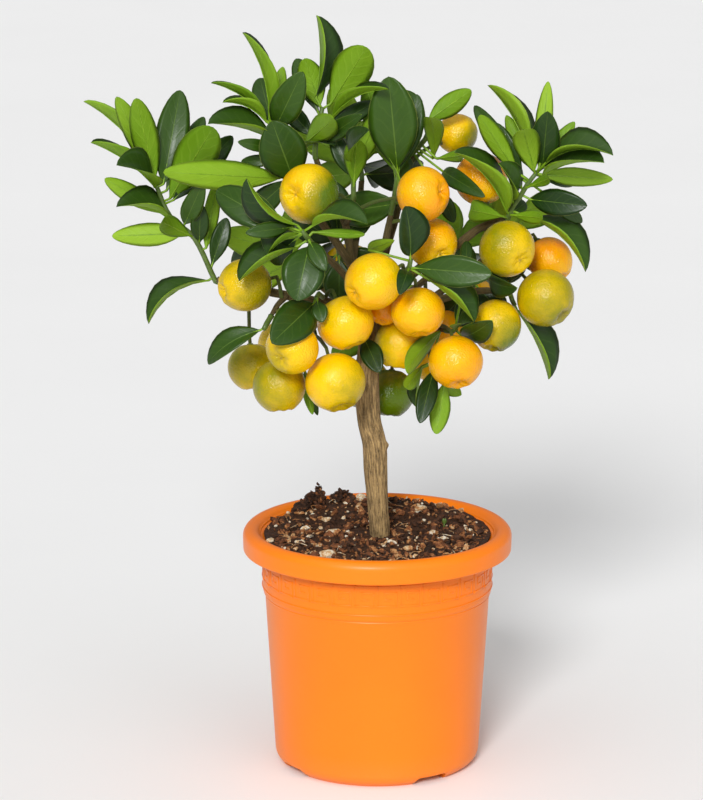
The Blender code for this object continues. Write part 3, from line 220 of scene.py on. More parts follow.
# Shoots: the limb that carries each one, the depth plane that x and z are given on, the green twig's
# points (x, z, depth) after the limb's end, and the leaves, one a row:
# tip x, z, depth; blade foot x, z; breadth across the front view; look and the side it opens to; arch
SHOOTS = {
    "shoot_left": ("left", 0, [(-113, 336, 0), (-128, 350, 2), (-137, 371, 4)], [
        (-101, 405.5, -24, -128, 361, 26, "b", 0.10), (-148, 423.5, -12, -137, 371, 17, "b", 0.06),
        (-180, 421.5, -5, -136, 368, 17, "cT", 0.10), (-160, 424.5, 10, -137, 371, 14, "b", 0.05),
        (-121, 428.5, 24, -132, 370, 21, "u", 0.08), (-106.5, 412, 34, -130, 366, 14, "u", 0.06),
        (-89, 400, 18, -126, 360, 16, "u", 0.08), (-176, 396, -14, -137, 368, 14, "cT", 0.14),
        (-160.5, 382, -24, -136, 367, 13, "sT", 0.10), (-168, 373.5, -2, -127, 350, 12, "b", 0.06),
        (-161, 356, -14, -125, 347, 13, "sT", 0.12), (-164, 337.5, 4, -117, 339, 15, "b", 0.08),
        (-133, 346.5, -36, -114, 337, 13, "b", 0.10), (-107, 372, -20, -119, 344, 13, "u", 0.08),
        (-109, 358, -12, -109, 331, 12, "u", 0.08), (-99, 373, 16, -106, 330, 10, "b", 0.06),
        (-142, 282, -8, -101, 312, 11, "sT", 0.16), (-93, 349, 8, -101, 317, 12, "u", 0.06),
    ]),
    "shoot_upper_left": ("up_left", 0, [(-56, 383, 0), (-62, 397, 0), (-66, 409, 2)], [
        (-82.5, 464, -8, -65, 411, 15.5, "cR", 0.08), (-46, 440, -18, -61, 404, 20, "u", 0.08),
        (-102, 433, -2, -68, 410, 10, "cT", 0.10), (-95, 421, -14, -67, 407, 11, "cT", 0.12),
        (-104, 408, -24, -64, 397, 13, "sT", 0.14), (-86, 396.5, -14, -61, 391, 8, "u", 0.08),
        (-132, 377.5, -34, -60, 374, 19, "b", 0.08), (-58, 443, 12, -64, 408, 10, "b", 0.05),
        (-72, 436, 26, -64, 404, 16, "u", 0.08), (-84, 384, 4, -58, 385, 8, "u", 0.10),
        (-65, 409.5, -12, -51, 369, 30, "u", 0.04), (-78, 352, 16, -54, 374, 16, "u", 0.08),
    ]),
    "shoot_top": ("up_middle", 0, [(-38, 398, 6), (-36, 408, 4), (-34, 418, 4)], [
        (-7, 455, -10, -29, 420, 25, "b", 0.08), (-37.5, 474.5, 8, -38, 424, 14, "sR", 0.06),
        (-45, 448, -4, -37, 416, 17, "b", 0.08), (6.5, 429, -16, -28, 412, 12, "cT", 0.10),
        (-10, 413.5, -22, -33, 398, 12, "u", 0.12), (-27, 411, -30, -44, 396, 17, "b", 0.12),
        (-26, 394, -34, -46, 391, 9, "sT", 0.14), (-50, 448, 20, -38, 412, 14, "u", 0.06),
        (-2, 421, 12, -32, 404, 12, "u", 0.08), (-58, 420, 22, -39, 398, 12, "u", 0.08),
    ]),
    "shoot_inner": ("up_inner", 0, [(-15, 371, -4), (-14, 380, -4)], [
        (-13, 398, -22, -17, 367, 15, "b", 0.08), (0, 414, -6, -13, 380, 14, "b", 0.06),
        (-5.5, 404, -26, -16, 384, 8, "sT", 0.08), (-28, 402, 6, -16, 372, 12, "u", 0.06),
    ]),
    "shoot_front_left": ("front_left", -20, [(-42, 339, -50), (-46.5, 345, -56)], [
        (-80, 377.6, -60, -49, 348, 13, "sL", 0.10), (-98.5, 370, -46, -54, 344, 22, "u", 0.10),
        (-50, 301, -66, -43, 336, 27, "u", 0.08), (-81, 343.5, -70, -54, 347, 10, "u", 0.12),
        (-67.7, 329.5, -72, -48, 345, 15, "sL", 0.12), (-85.3, 313.5, -60, -50, 335, 16, "sT", 0.12),
        (-32, 320, -66, -43, 342, 11, "u", 0.10), (-6.5, 349, -76, -40, 348, 12, "sT", 0.12),
        (-8, 342.5, -66, -40, 344, 6, "b", 0.10), (-66, 326, -48, -50, 340, 14, "u", 0.10),
    ]),
    "shoot_left_leaf": ("left_front", -40, [(-36, 310, -30), (-38, 307, -36)], [
        (-65, 279, -72, -39, 304, 25, "u", 0.06), (-34, 292, -20, -36, 306, 10, "u", 0.06),
    ]),
    "shoot_crown": ("up_right", 0, [(10, 361, 3), (11, 368, 0), (12, 376, -2)], [
        (6.5, 437, -8, 12, 379, 33, "u", 0.06), (5.7, 388.5, -26, 10, 364, 12, "sR", 0.10),
        (24, 426, 10, 13, 374, 18, "u", 0.06), (-8, 432, 14, 10, 376, 18, "b", 0.06),
        (-26, 352, 2, 13, 358, 23, "u", 0.04), (30, 352, 20, 11, 366, 16, "u", 0.08),
    ]),
    "shoot_crown_right": ("crown_right", 0, [(29, 398, 14), (33, 408, 12)], [
        (57, 428.5, 8, 31, 410, 14, "b", 0.06), (32, 411.5, -22, 34, 386, 13, "b", 0.10),
        (66, 362, -24, 40, 378, 12, "u", 0.16), (52, 388, -16, 36, 386, 8, "b", 0.12),
        (14, 428, 24, 30, 404, 14, "u", 0.08), (47, 346, 12, 38, 366, 10, "u", 0.10),
    ]),
    "shoot_front_right": ("front_right", -30, [(19, 324, -38), (20, 329, -42)], [
        (16.5, 362, -52, 19, 328, 20, "v", 0.05), (69.5, 320, -54, 22, 323, 20, "u", 0.05),
        (13, 307, -58, 19, 324, 11, "uL", 0.16), (59, 290, -46, 32, 316, 15, "sR", 0.12),
        (10, 341, -24, -6, 335, 9, "b", 0.10),
    ]),
    "shoot_low_right": ("low_right", -30, [(46, 284, -12), (48, 286, -14)], [
        (70, 291, -40, 52, 281, 17, "u", 0.08), (59.5, 290, -28, 45, 283, 8, "sT", 0.10),
        (54, 340.5, 8, 54, 322, 8, "u", 0.06), (60, 303, 16, 46, 288, 18, "u", 0.08),
        (68, 309, 26, 50, 290, 16, "u", 0.08),
    ]),
    "shoot_low_front": ("low_front", -30, [(36, 260, -8), (37, 253, -12)], [
        (18, 258, -50, 38, 284, 13, "b", 0.08), (17.5, 248, -34, 27, 262, 9, "b", 0.08),
        (26, 226, -32, 33, 262, 13, "u", 0.08), (36, 219, -20, 41, 252, 13, "b", 0.05),
        (25.5, 235, -18, 27, 261, 7, "sL", 0.06), (51.5, 244, -6, 41, 250, 9, "b", 0.08),
    ]),
    "shoot_low_left": ("low_left", -40, [(-46, 272, 4), (-46.5, 266, 2)], [
        (-40, 234, -10, -47, 262, 6, "b", 0.06), (-37, 233.5, 2, -45, 262, 6, "u", 0.06),
        (-40, 290, 6, -46, 268, 10, "u", 0.08),
    ]),
    "shoot_left_spur": ("left_spur", -40, [(-68, 291, -42), (-69.5, 288, -46)], [
        (-104, 266, -40, -70, 288, 14, "vT", 0.14),
    ]),
    "shoot_trunk": ("trunk_leaf", -40, [(-10, 286, -7), (-9.5, 284, -8)], [
        (1, 260.5, -18, -11, 282, 14, "u", 0.05),
    ]),
    "shoot_heart": ("heart", 0, [(-24, 328, 32), (-24, 334, 32)], [
        (-52, 351, 34, -25, 334, 22, "u", 0.06), (-2, 356, 38, -23, 334, 22, "u", 0.06),
        (-46, 305, 36, -25, 327, 20, "u", 0.06), (-1, 318, 32, -22, 328, 18, "u", 0.06),
        (-28, 372, 44, -24, 336, 22, "u", 0.06), (-24, 296, 40, -24, 326, 20, "u", 0.06),
    ]),
    "shoot_heart_right": ("heart_right", 0, [(60, 308, 33), (62, 312, 33)], [
        (92, 320, 36, 63, 311, 18, "u", 0.06), (44, 332, 38, 61, 312, 20, "u", 0.06),
        (78, 284, 34, 61, 307, 18, "u", 0.06), (42, 288, 34, 59, 306, 18, "u", 0.06),
    ]),
    "shoot_right": ("right", 0, [(83, 356, 0), (88, 363, -2), (92, 370, -4), (98, 378, -4)], [
        (47, 390, -24, 79, 352, 16, "tT", 0.08), (89, 404, -40, 97, 376, 17, "b", 0.10),
        (104, 415.5, -26, 101, 380, 19, "u", 0.06), (139, 383.5, -26, 101, 375, 16, "sT", 0.10),
        (129, 356.5, -18, 94, 360.5, 17, "u", 0.08), (62, 413, -16, 85, 378, 13, "b", 0.06),
        (71, 408.5, -2, 89, 373, 13, "u", 0.08), (67.2, 431.5, 12, 93, 384, 13, "tR", 0.08),
        (144.5, 388, -4, 103, 383, 14, "sT", 0.16), (104, 434, 18, 99, 380, 11, "b", 0.05),
        (59, 419, 24, 88, 376, 12, "u", 0.06), (78.5, 413, 8, 94, 380, 11, "b", 0.08),
        (120.5, 409, 8, 100, 380, 11, "b", 0.08), (132.5, 403, 22, 101, 380, 13, "b", 0.10),
        (144.5, 373, 10, 101, 376, 12, "b", 0.12), (74, 383, -16, 83, 358, 10, "sR", 0.10),
        (101.5, 349, -30, 84, 350, 9, "b", 0.10), (128.5, 315, -10, 94, 349, 16, "sT", 0.12),
        (82.5, 376, -22, 90, 366, 8, "b", 0.10), (105, 373.5, -34, 93, 366, 7, "b", 0.10),
        (57, 354, -14, 76, 350, 14, "b", 0.14), (121.5, 370.5, 16, 99, 374, 8, "u", 0.10),
        (126, 346, 10, 100, 366, 10, "u", 0.10), (91, 358.5, 14, 84, 350, 8, "u", 0.08),
    ]),
    "shoot_right_low": ("right_low", -10, [(83, 299, -2), (84.5, 296, -4)], [
        (106, 249, -8, 86, 293, 15, "sR", 0.06), (86, 307, -28, 68, 314, 12, "v", 0.10),
        (66, 322, 20, 80, 300, 12, "u", 0.08),
    ]),
}

# Leafy shoots at the back: limb, direction the twig runs in, its length, leaf count, leaf length (mm)
BACK_SHOOTS = {
    "shoot_back_left": ("back_left", (-0.5, 0.7, 0.5), 16, 7, 46),
    "shoot_back_right": ("back_right", (0.45, 0.75, 0.5), 16, 7, 46),
    "shoot_back_top": ("back_top", (-0.1, 0.6, 0.8), 18, 8, 48),
    "shoot_back_low": ("back_low", (0.05, 0.95, 0.1), 12, 6, 42),
    "shoot_back_far_right": ("back_far_right", (0.5, 0.7, 0.5), 14, 6, 42),
}
BACK_LEAF_BREADTH = 20  # mm
GOLDEN_ANGLE = math.radians(137.5)

# Moves that are tried, in this order, to clear a leaf of its neighbours: tip depth, turn, arch, size
DEPTH_MOVES = (0, -5, 5, -10, 10, -16, 16, -23, 23, -31, 31, -40, 40)
TURN_MOVES = (0, 14, -14, 28, -28)
ARCH_MOVES = (0, 0.08, -0.08)
SIZE_MOVES = (1.0, 0.82, 0.64, 0.46)


# ---------------------------------------------------------------- how the crown is laid out

def seen(x, z, depth, plane=0.0):
    """The point at this depth that the front view shows at x, z (all in mm; x, z lie on a plane)."""
    lift = POT_HEIGHT - LAYOUT_POT_HEIGHT * MM
    on_plane = Vector((x, plane, z)) * MM
    share = (depth * MM - LAYOUT_EYE.y) / (on_plane.y - LAYOUT_EYE.y)
    return LAYOUT_EYE + (on_plane - LAYOUT_EYE) * share + Vector((0, 0, lift))


def smooth_path(points, steps=3):
    """A Catmull-Rom curve through the points."""
    ends = [2 * points[0] - points[1], *points, 2 * points[-1] - points[-2]]
    path = []
    for a, b, c, d in zip(ends, ends[1:], ends[2:], ends[3:]):
        for step in range(steps):
            t = step / steps
            path.append(0.5 * (2 * b + (c - a) * t + (2 * a - 5 * b + 4 * c - d) * t**2
                               + (3 * b - a - 3 * c + d) * t**3))
    return path + [points[-1]]


class Shape:
    """A closed surface that other pieces keep clear of."""

    def __init__(self, points, faces, owner=""):
        self.tree = BVHTree.FromPolygons(points, faces)
        self.low = [min(p[i] for p in points) for i in range(3)]
        self.high = [max(p[i] for p in points) for i in range(3)]
        self.owner = owner

    def touches(self, other):
        apart = any(self.low[i] > other.high[i] or other.low[i] > self.high[i] for i in range(3))
        return not apart and bool(self.tree.overlap(other.tree))


def shape_of(bm, owner):
    points = [v.co.copy() for v in bm.verts]
    faces = [[v.index for v in f.verts] for f in bm.faces]
    return Shape(points, faces, owner)


def tube_shape(path, radii, owner="", sides=6):
    """The surface of a tube, for the tests of room."""
    points, faces = [], []
    for index, spot in enumerate(path):
        ahead = path[min(index + 1, len(path) - 1)] - path[max(index - 1, 0)]
        frame = ahead.to_track_quat("Z", "Y").to_matrix()
        radius = radii[0] + (radii[1] - radii[0]) * index / (len(path) - 1)
        for side in range(sides):
            angle = 2 * math.pi * side / sides
            points.append(spot + frame @ Vector((math.cos(angle), math.sin(angle), 0)) * radius)
    for index in range(len(path) - 1):
        for side in range(sides):
            a, b = index * sides + side, index * sides + (side + 1) % sides
            faces.append((a, b, b + sides, a + sides))
    faces += [tuple(range(sides)), tuple(range(len(points) - sides, len(points)))]
    return Shape(points, faces, owner)


def soil_height(x, y):
    """The soil's surface: low at the trunk, heaped behind it, with lumps."""
    share = min(1.0, math.hypot(x, y) / LIP_RADIUS)
    lumps = noise.noise(Vector((x, y, 0.2)) * 60) + 0.5 * noise.noise(Vector((x, y, 3.1)) * 140)
    back = min(1.0, max(0.0, y / SOIL_HEAP_REACH))
    heap = SOIL_HEAP * back * back * (3 - 2 * back) * (1 - share**6)
    return (POT_HEIGHT - SOIL_DROP - SOIL_DIP * (1 - share**2) + heap
            + SOIL_LUMPS * lumps * (1 - share**4))


def trunk_path():
    above = [seen(x, z, depth) for x, z, depth in TRUNK]
    foot = above[0] - Vector((0, 0, ROOT_DEPTH))
    return [foot] + smooth_path(above, 2)


def trunk_radii(path):
    """The trunk is narrower at the soil and above its fork."""
    radii = []
    for spot in path:
        rise = (spot.z - POT_HEIGHT) / MM
        swell = min(1.0, max(0.0, (rise - 14) / 30))
        taper = min(1.0, max(0.0, (rise - 95) / 45))
        radii.append(TRUNK_FOOT_RADIUS + (TRUNK_RADIUS - TRUNK_FOOT_RADIUS) * swell - 0.0025 * taper)
    return radii


def limb_paths():
    made = {}
    for name, (points, start, end) in LIMBS.items():
        path = smooth_path([seen(x, z, depth) for x, z, depth in points], 2)
        made[name] = (path, (start * LIMB_RADIUS, end * LIMB_RADIUS))
    return made


class Fruit:
    """A round fruit: its place, its half sizes and the axis from its blossom end to its stem."""

    def __init__(self, index, row):
        self.x, self.z, self.depth, width, height, across, up = row
        self.name = f"fruit_{index + 1:02d}"
        self.half_width, self.half_height = width / 2 * MM, height / 2 * MM
        self.radius = max(self.half_width, self.half_height)
        self.axis = None
        if across is not None:
            hidden = math.sqrt(max(0.0, 1 - across**2 - up**2))
            blossom = Vector((across, -hidden, up)).normalized()
            self.axis = (-blossom + Vector((0, 0, STEM_UP_AT_BACK))).normalized()

    @property
    def centre(self):
        return seen(self.x, self.z, self.depth)

    def stem_end(self):
        return self.centre + self.axis * (self.half_height * STEM_DIP + 2 * CLEARANCE)

    def aim_at(self, anchors):
        """Turns a fruit whose ends are out of sight so that its stem faces the nearest wood."""
        if self.axis is None:
            spot = min(anchors, key=lambda anchor: (anchor - self.centre).length)
            self.axis = (spot - self.centre).normalized()

    def push(self, other, gap):
        """Moves the fruit off a point by a change of depth if it can, and sideways if it must."""
        delta = self.centre - other
        short = gap - delta.length
        if short <= 0:
            return False
        flat = math.hypot(delta.x, delta.z)
        if flat < 0.9 * gap:
            self.depth += math.copysign(min(short, 0.002) / MM, delta.y)
        else:
            self.x += delta.x / flat * short / 2 / MM
            self.z += delta.z / flat * short / 2 / MM
        return True


def settle_fruit(fruits, wood):
    """Moves fruits apart, and off the wood, until none overlaps."""
    spots = [(spot, radius) for path, radii in wood
             for spot, radius in zip(path, [max(radii)] * len(path))]
    for _ in range(200):
        moved = False
        for fruit in fruits:
            for other in fruits:
                if other is not fruit:
                    gap = fruit.radius + other.radius + 2 * CLEARANCE
                    moved |= fruit.push(other.centre, gap)
            for spot, radius in spots:
                moved |= fruit.push(spot, fruit.radius + radius + 3 * CLEARANCE)
        if not moved:
            return


def fruit_mesh(fruit, inflate):
    """A flattened globe with a dimple at the blossom end and a small one at the stem."""
    bm = bmesh.new()
    bmesh.ops.create_uvsphere(bm, u_segments=12, v_segments=7, radius=1.0)
    for vert in bm.verts:
        dip = STEM_DIP + (1 - STEM_DIP) * min(1.0, math.hypot(vert.co.x, vert.co.y) / 0.4)
        vert.co.x *= fruit.half_width + inflate
        vert.co.y *= fruit.half_width + inflate
        vert.co.z *= (fruit.half_height + inflate) * dip
    turn = fruit.axis.to_track_quat("Z", "Y").to_matrix().to_4x4()
    bmesh.ops.transform(bm, matrix=Matrix.Translation(fruit.centre) @ turn, verts=bm.verts)
    return bm


def fruit_shape(fruit, inflate):
    bm = fruit_mesh(fruit, inflate)
    bm.verts.index_update()
    made = shape_of(bm, fruit.name)
    bm.free()
    return made


def stalk_path(fruit, anchor):
    end = fruit.stem_end()
    lead = end + fruit.axis * STALK_LEAD
    middle = (anchor + lead) / 2 + Vector((0, 0, 0.002))
    return [anchor, middle, lead, end]


def limb_anchors(limbs):
    return [spot for path, _ in limbs.values() for spot in path[1:]]


def route_stalks(fruits, limbs, placed):
    """Joins each fruit to the nearest wood that a clear stalk reaches."""
    anchors = limb_anchors(limbs)
    stalks = []
    for fruit in fruits:
        lead = fruit.stem_end() + fruit.axis * STALK_LEAD
        near = sorted(anchors, key=lambda spot: (spot - lead).length)[:40]
        others = [shape for shape in placed if shape.owner != fruit.name]
        for anchor in near:
            path = stalk_path(fruit, anchor)
            shape = tube_shape(path, (STALK_RADIUS + 2 * CLEARANCE, STALK_RADIUS + 2 * CLEARANCE))
            ways = [a.lerp(b, share) for a, b in zip(path[:-1], path[1:-1])
                    for share in (0, 0.25, 0.5, 0.75)]
            clear = min((spot - fruit.centre).length for spot in ways) > fruit.radius + 2 * STALK_RADIUS
            if clear and not any(shape.touches(other) for other in others):
                break
        else:
            path = stalk_path(fruit, near[0])
            print(f"{fruit.name}: no clear way for its stalk")
        stalks.append(path)
        placed.append(tube_shape(path, (STALK_RADIUS, STALK_RADIUS), "wood"))
    return stalks


class Leaf:
    """A leaf on a twig: a petiole from the twig to the blade's foot, and a folded, arched blade."""

    grown = False
    tone = 0.5
    fullest = 1.0
    wave = ripples = phase = 0.0

    def __init__(self, name, root, foot, tip, breadth, look, arch):
        self.name, self.root, self.drawn_foot, self.drawn_tip = name, root, foot, tip
        self.breadth, self.look, self.drawn_arch = breadth, look, arch
        self.move(1.0, 0.0, 0.0, 0.0)

    def move(self, size, bend, turn, depth):
        """Sets the leaf's frame after a move from the place it is drawn at."""
        sight = (self.drawn_tip - LAYOUT_EYE).normalized()
        aim = self.drawn_tip + sight * (depth * MM)
        self.foot = self.drawn_foot + sight * (depth * MM * FOOT_SHARE)
        self.tip = self.foot + (aim - self.foot) * size
        self.along = (self.tip - self.foot).normalized()
        front = (LAYOUT_EYE - self.foot).normalized()
        up = (front - self.along * front.dot(self.along)).normalized()
        spin, fold = LOOKS[self.look[0]]
        if len(self.look) > 1 and self.along.cross(up).dot(Vector(SIDES[self.look[1]])) < 0:
            spin = -spin
        spin, fold = math.radians(spin), math.radians(fold)
        shown = (abs(math.cos(spin - fold)), abs(math.cos(spin + fold)))
        half = self.breadth * MM / (max(shown) if self.look[0] in "st" else sum(shown))
        self.half = min(half, WIDEST_LEAF / 2) * size
        up.rotate(Matrix.Rotation(spin + math.radians(turn), 3, self.along))
        self.up, self.side = up, self.along.cross(up)
        self.bow = (self.drawn_arch + bend) * (self.tip - self.foot).length
        self.lean = self.side * math.cos(fold), up * math.sin(fold)

    def point(self, u, v):
        """The leaf's surface: u from 0 at the twig to 1 at the tip, v from -1 to 1 across."""
        if u <= BLADE_START:
            return self.root.lerp(self.foot, u / BLADE_START) + self.side * (v * PETIOLE_HALF_WIDTH)
        share = (u - BLADE_START) / (1 - BLADE_START)
        width = self.half * self.outline(share)
        width = max(width, PETIOLE_HALF_WIDTH * (1 - share))
        across, rise = self.lean
        middle = self.foot.lerp(self.tip, share) + self.up * (self.bow * 4 * share * (1 - share))
        return middle + (across * v + rise * abs(v)) * width

    def outline(self, share):
        """The blade's half width over its widest: slender for the tests of room, full once it has grown."""
        if share >= 1:
            return 0.0
        if not self.grown:
            return math.sin(math.pi * share**0.92) ** 0.75
        swell = math.sin(math.pi * share**self.fullest)
        return swell ** (0.82 if share**self.fullest < 0.5 else 0.55)


def leaf_shape(leaf, thickness, owner, first=1):
    """A closed test shape round the blade, from one of its stations to the tip."""
    points, faces = [], []
    rows = LEAF_STATIONS[first:]
    spread = 1 + thickness / 0.010
    for offset in (thickness / 2, -thickness / 2):
        lift = leaf.up * offset
        for u in rows:
            for v in (-spread, 0, spread):
                points.append(leaf.point(u, v) + lift)
    size = len(rows) * 3
    for row in range(len(rows) - 1):
        for col in range(2):
            a = row * 3 + col
            faces.append((a, a + 1, a + 4, a + 3))
            faces.append(tuple(size + i for i in (a + 3, a + 4, a + 1, a)))
        for a in (row * 3, row * 3 + 2):
            faces.append((a, a + 3, a + 3 + size, a + size))
    faces += [(0, 1, 1 + size, size), (1, 2, 2 + size, 1 + size)]
    return Shape(points, faces, owner)


def inside_a_fruit(leaf, fruits):
    spots = [leaf.point(u, v) for u in (0.3, 0.6, 0.9) for v in (-0.7, 0.7)]
    return any((spot - fruit.centre).length < fruit.radius for fruit in fruits for spot in spots)


def moves():
    """Every combination of moves, the smallest change first."""
    every = [(size, bend, turn, depth) for size in SIZE_MOVES for bend in ARCH_MOVES
             for turn in TURN_MOVES for depth in DEPTH_MOVES]
    return sorted(every, key=lambda m: (1 - m[0]) * 90 + abs(m[1]) * 60 + (abs(m[2]) + abs(m[3])) / 2)


def make_room(leaf, owner, placed, siblings, fruits, all_moves):
    """Finds the smallest move that clears the leaf of everything, or at least of other shoots."""
    spare = None
    for step in all_moves:
        leaf.move(*step)
        if inside_a_fruit(leaf, fruits):
            continue
        room = leaf_shape(leaf, LEAF_THICKNESS + 2 * LEAF_MARGIN, owner)
        petiole = [leaf.root.lerp(leaf.foot, 0.4), leaf.foot]
        stem = tube_shape(petiole, (PETIOLE_HALF_WIDTH + LEAF_MARGIN,) * 2, owner, 4)
        if any(room.touches(other) or stem.touches(other) for other in placed):
            continue
        outer = leaf_shape(leaf, LEAF_THICKNESS + LEAF_MARGIN, owner, 2)
        if not any(outer.touches(other) for other in siblings):
            return True
        spare = spare or step
        if step[0] < 0.8:
            break
    if spare:
        leaf.move(*spare)
        return True
    print(f"{owner}: {leaf.name} found no room")
    return False


def nearest_on(path, spot):
    """The nearest point of a path to a spot, and how far along it lies."""
    best = None
    for index, (a, b) in enumerate(zip(path, path[1:])):
        span = b - a
        share = min(1.0, max(0.0, (spot - a).dot(span) / span.length_squared))
        near = a + span * share
        if best is None or (near - spot).length < (best - spot).length:
            best = near
    return best


def rooting(twig):
    """The stretch of a twig that leaves grow from: all but its ends."""
    stop = twig[-1] + (twig[-2] - twig[-1]).normalized() * TWIG_RADIUS
    return [*twig[1:-1], stop]


def twig_start(limb):
    """The first two points of a twig, which carries on from its limb's end."""
    path, _ = limb
    heading = (path[-1] - path[-2]).normalized()
    start = path[-1] + heading * CLEARANCE
    return start, start + heading * TWIG_LEAD


def front_shoots(limbs):
    """Each front shoot's twig and leaves, before the leaves are moved apart."""
    made = {}
    for name, (limb, plane, points, rows) in SHOOTS.items():
        twig = [*twig_start(limbs[limb]), *(seen(x, z, depth, plane) for x, z, depth in points)]
        leaves = []
        for x, z, depth, foot_x, foot_z, breadth, look, arch in rows:
            tip = seen(x, z, depth, plane)
            near = min(twig[1:], key=lambda spot: (seen(foot_x, foot_z, spot.y / MM, plane) - spot).length)
            foot = seen(foot_x, foot_z, near.y / MM, plane)
            root = nearest_on(rooting(twig), foot)
            if (foot - root).length < PETIOLE_LENGTH:
                foot = root + (tip - root).normalized() * PETIOLE_LENGTH
            root += (foot - root).normalized() * (ROOT_STEP * (len(leaves) % 5))
            leaves.append(Leaf(len(leaves) + 1, root, foot, tip, breadth, look, arch))
        made[name] = (twig, leaves)
    return made


def back_shoots(limbs):
    """The shoots at the back: leaves in a spiral round each twig."""
    made = {}
    for name, (limb, heading, length, count, leaf_length) in BACK_SHOOTS.items():
        start, lead = twig_start(limbs[limb])
        run = Vector(heading).normalized()
        twig = [start, lead, lead + run * length * MM * 0.5, lead + run * length * MM]
        side = run.cross(Vector((0, 0, 1))).normalized()
        leaves = []
        for index in range(count):
            share = (index + 0.6) / count
            root = nearest_on(rooting(twig), lead + run * length * MM * share)
            spin = Matrix.Rotation(index * GOLDEN_ANGLE, 3, run)
            outward = (spin @ side) * (1.25 - 0.55 * share) + run * (0.35 + 0.5 * share)
            outward.normalize()
            foot = root + outward * PETIOLE_LENGTH
            tip = foot + outward * leaf_length * MM * (0.8 + 0.25 * share) + Vector((0, 0, -0.006))
            look = "b" if index % 3 else "v"
            leaves.append(Leaf(index + 1, root, foot, tip, BACK_LEAF_BREADTH, look, 0.08))
        made[name] = (twig, leaves)
    return made


def lay_out():
    """Places every fruit, stalk, twig and leaf."""
    trunk, limbs = trunk_path(), limb_paths()
    wood = [(trunk, trunk_radii(trunk))] + [limbs[name] for name in limbs]
    fruits = [Fruit(index, row) for index, row in enumerate(FRUIT)]
    settle_fruit(fruits, wood)
    for fruit in fruits:
        fruit.aim_at(limb_anchors(limbs))
    placed = [fruit_shape(fruit, CLEARANCE) for fruit in fruits]
    shoots = {**front_shoots(limbs), **back_shoots(limbs)}
    for name, (twig, _) in shoots.items():
        shape = tube_shape(twig, (TWIG_RADIUS * 1.3, TWIG_RADIUS), name)
        for other in placed:
            if other.owner.startswith("fruit") and shape.touches(other):
                print(f"{name}: its twig meets {other.owner}")
        placed.append(shape)
    stalks = route_stalks(fruits, limbs, placed)
    placed.append(tube_shape(trunk, (TRUNK_RADIUS, TRUNK_RADIUS), "wood", 10))
    placed += [tube_shape(path, radii, "wood") for path, radii in limbs.values()]
    every_move = moves()
    kept = {name: (twig, []) for name, (twig, _) in shoots.items()}
    for name, (twig, leaves) in shoots.items():
        siblings = []
        others = [shape for shape in placed if shape.owner != name]
        for leaf in leaves:
            if make_room(leaf, name, others, siblings, fruits, every_move):
                siblings.append(leaf_shape(leaf, LEAF_THICKNESS, name, 2))
                placed.append(leaf_shape(leaf, LEAF_THICKNESS, name))
                placed.append(tube_shape([leaf.root, leaf.foot], (PETIOLE_HALF_WIDTH,) * 2, name, 4))
                kept[name][1].append(leaf)
    return trunk, limbs, fruits, stalks, kept


@functools.cache
def plant():
    """The crown's layout, worked out once and used by the wood, the fruit and the leaves."""
    trunk, limbs, fruits, stalks, shoots = lay_out()
    return {"trunk": trunk, "limbs": limbs, "fruits": fruits, "stalks": stalks, "shoots": shoots}


# ---------------------------------------------------------------- mesh helpers

def finish_piece(bm, name, materials, replaces=(), smooth=True):
    """Makes a finished object of a bmesh, and joins it to the frame."""
    mesh = bpy.data.meshes.new(name)
    bm.to_mesh(mesh)
    bm.free()
    for finish in materials:
        mesh.materials.append(finish)
    if smooth:
        mesh.shade_smooth()
    obj = bpy.data.objects.new(name, mesh)
    bpy.context.scene.collection.objects.link(obj)
    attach(obj, "root")
    if replaces:
        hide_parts(*replaces)
    return obj


def spun(profile, steps):
    """A closed shape turned about the pot's axis from a profile that starts and ends on it."""
    bm = bmesh.new()
    line = [bm.verts.new((radius, 0, height)) for radius, height in profile]
    edges = [bm.edges.new(pair) for pair in zip(line, line[1:])]
    bmesh.ops.spin(bm, geom=line + edges, cent=(0, 0, 0), axis=(0, 0, 1), dvec=(0, 0, 0),
                   angle=2 * math.pi, steps=steps, use_merge=True, use_duplicate=False)
    bmesh.ops.remove_doubles(bm, verts=bm.verts, dist=1e-6)
    bmesh.ops.recalc_face_normals(bm, faces=bm.faces)
    return bm


def rolled_grid(bm, rows, around):
    """A new grid with a UV map, and for each vertex its row and its place around, to be rolled up."""
    if not bm.loops.layers.uv:
        bm.loops.layers.uv.new("surface")
    made = bmesh.ops.create_grid(bm, x_segments=rows, y_segments=around, size=1.0, calc_uvs=True)["verts"]
    return [(vert, round((vert.co.x + 1) / 2 * rows), round((vert.co.y + 1) / 2 * around)) for vert in made]


def faces_of(verts):
    return list({face for vert in verts if vert.is_valid for face in vert.link_faces})


def close_seam(bm, places):
    """Welds the rolled grid's seam, fills its open ends and returns its faces."""
    verts = [vert for vert, _, _ in places]
    bmesh.ops.remove_doubles(bm, verts=verts, dist=1e-6)
    faces = faces_of(verts)
    rims = [edge for edge in {e for face in faces for e in face.edges} if edge.is_boundary]
    if rims:
        faces += bmesh.ops.holes_fill(bm, edges=rims, sides=0)["faces"]
    return faces


def spread_radii(radii, count):
    """Radii given at even stations, read off at count stations."""
    spread = []
    for index in range(count):
        place = index * (len(radii) - 1) / (count - 1)
        low = min(int(place), len(radii) - 2)
        spread.append(radii[low] + (radii[low + 1] - radii[low]) * (place - low))
    return spread


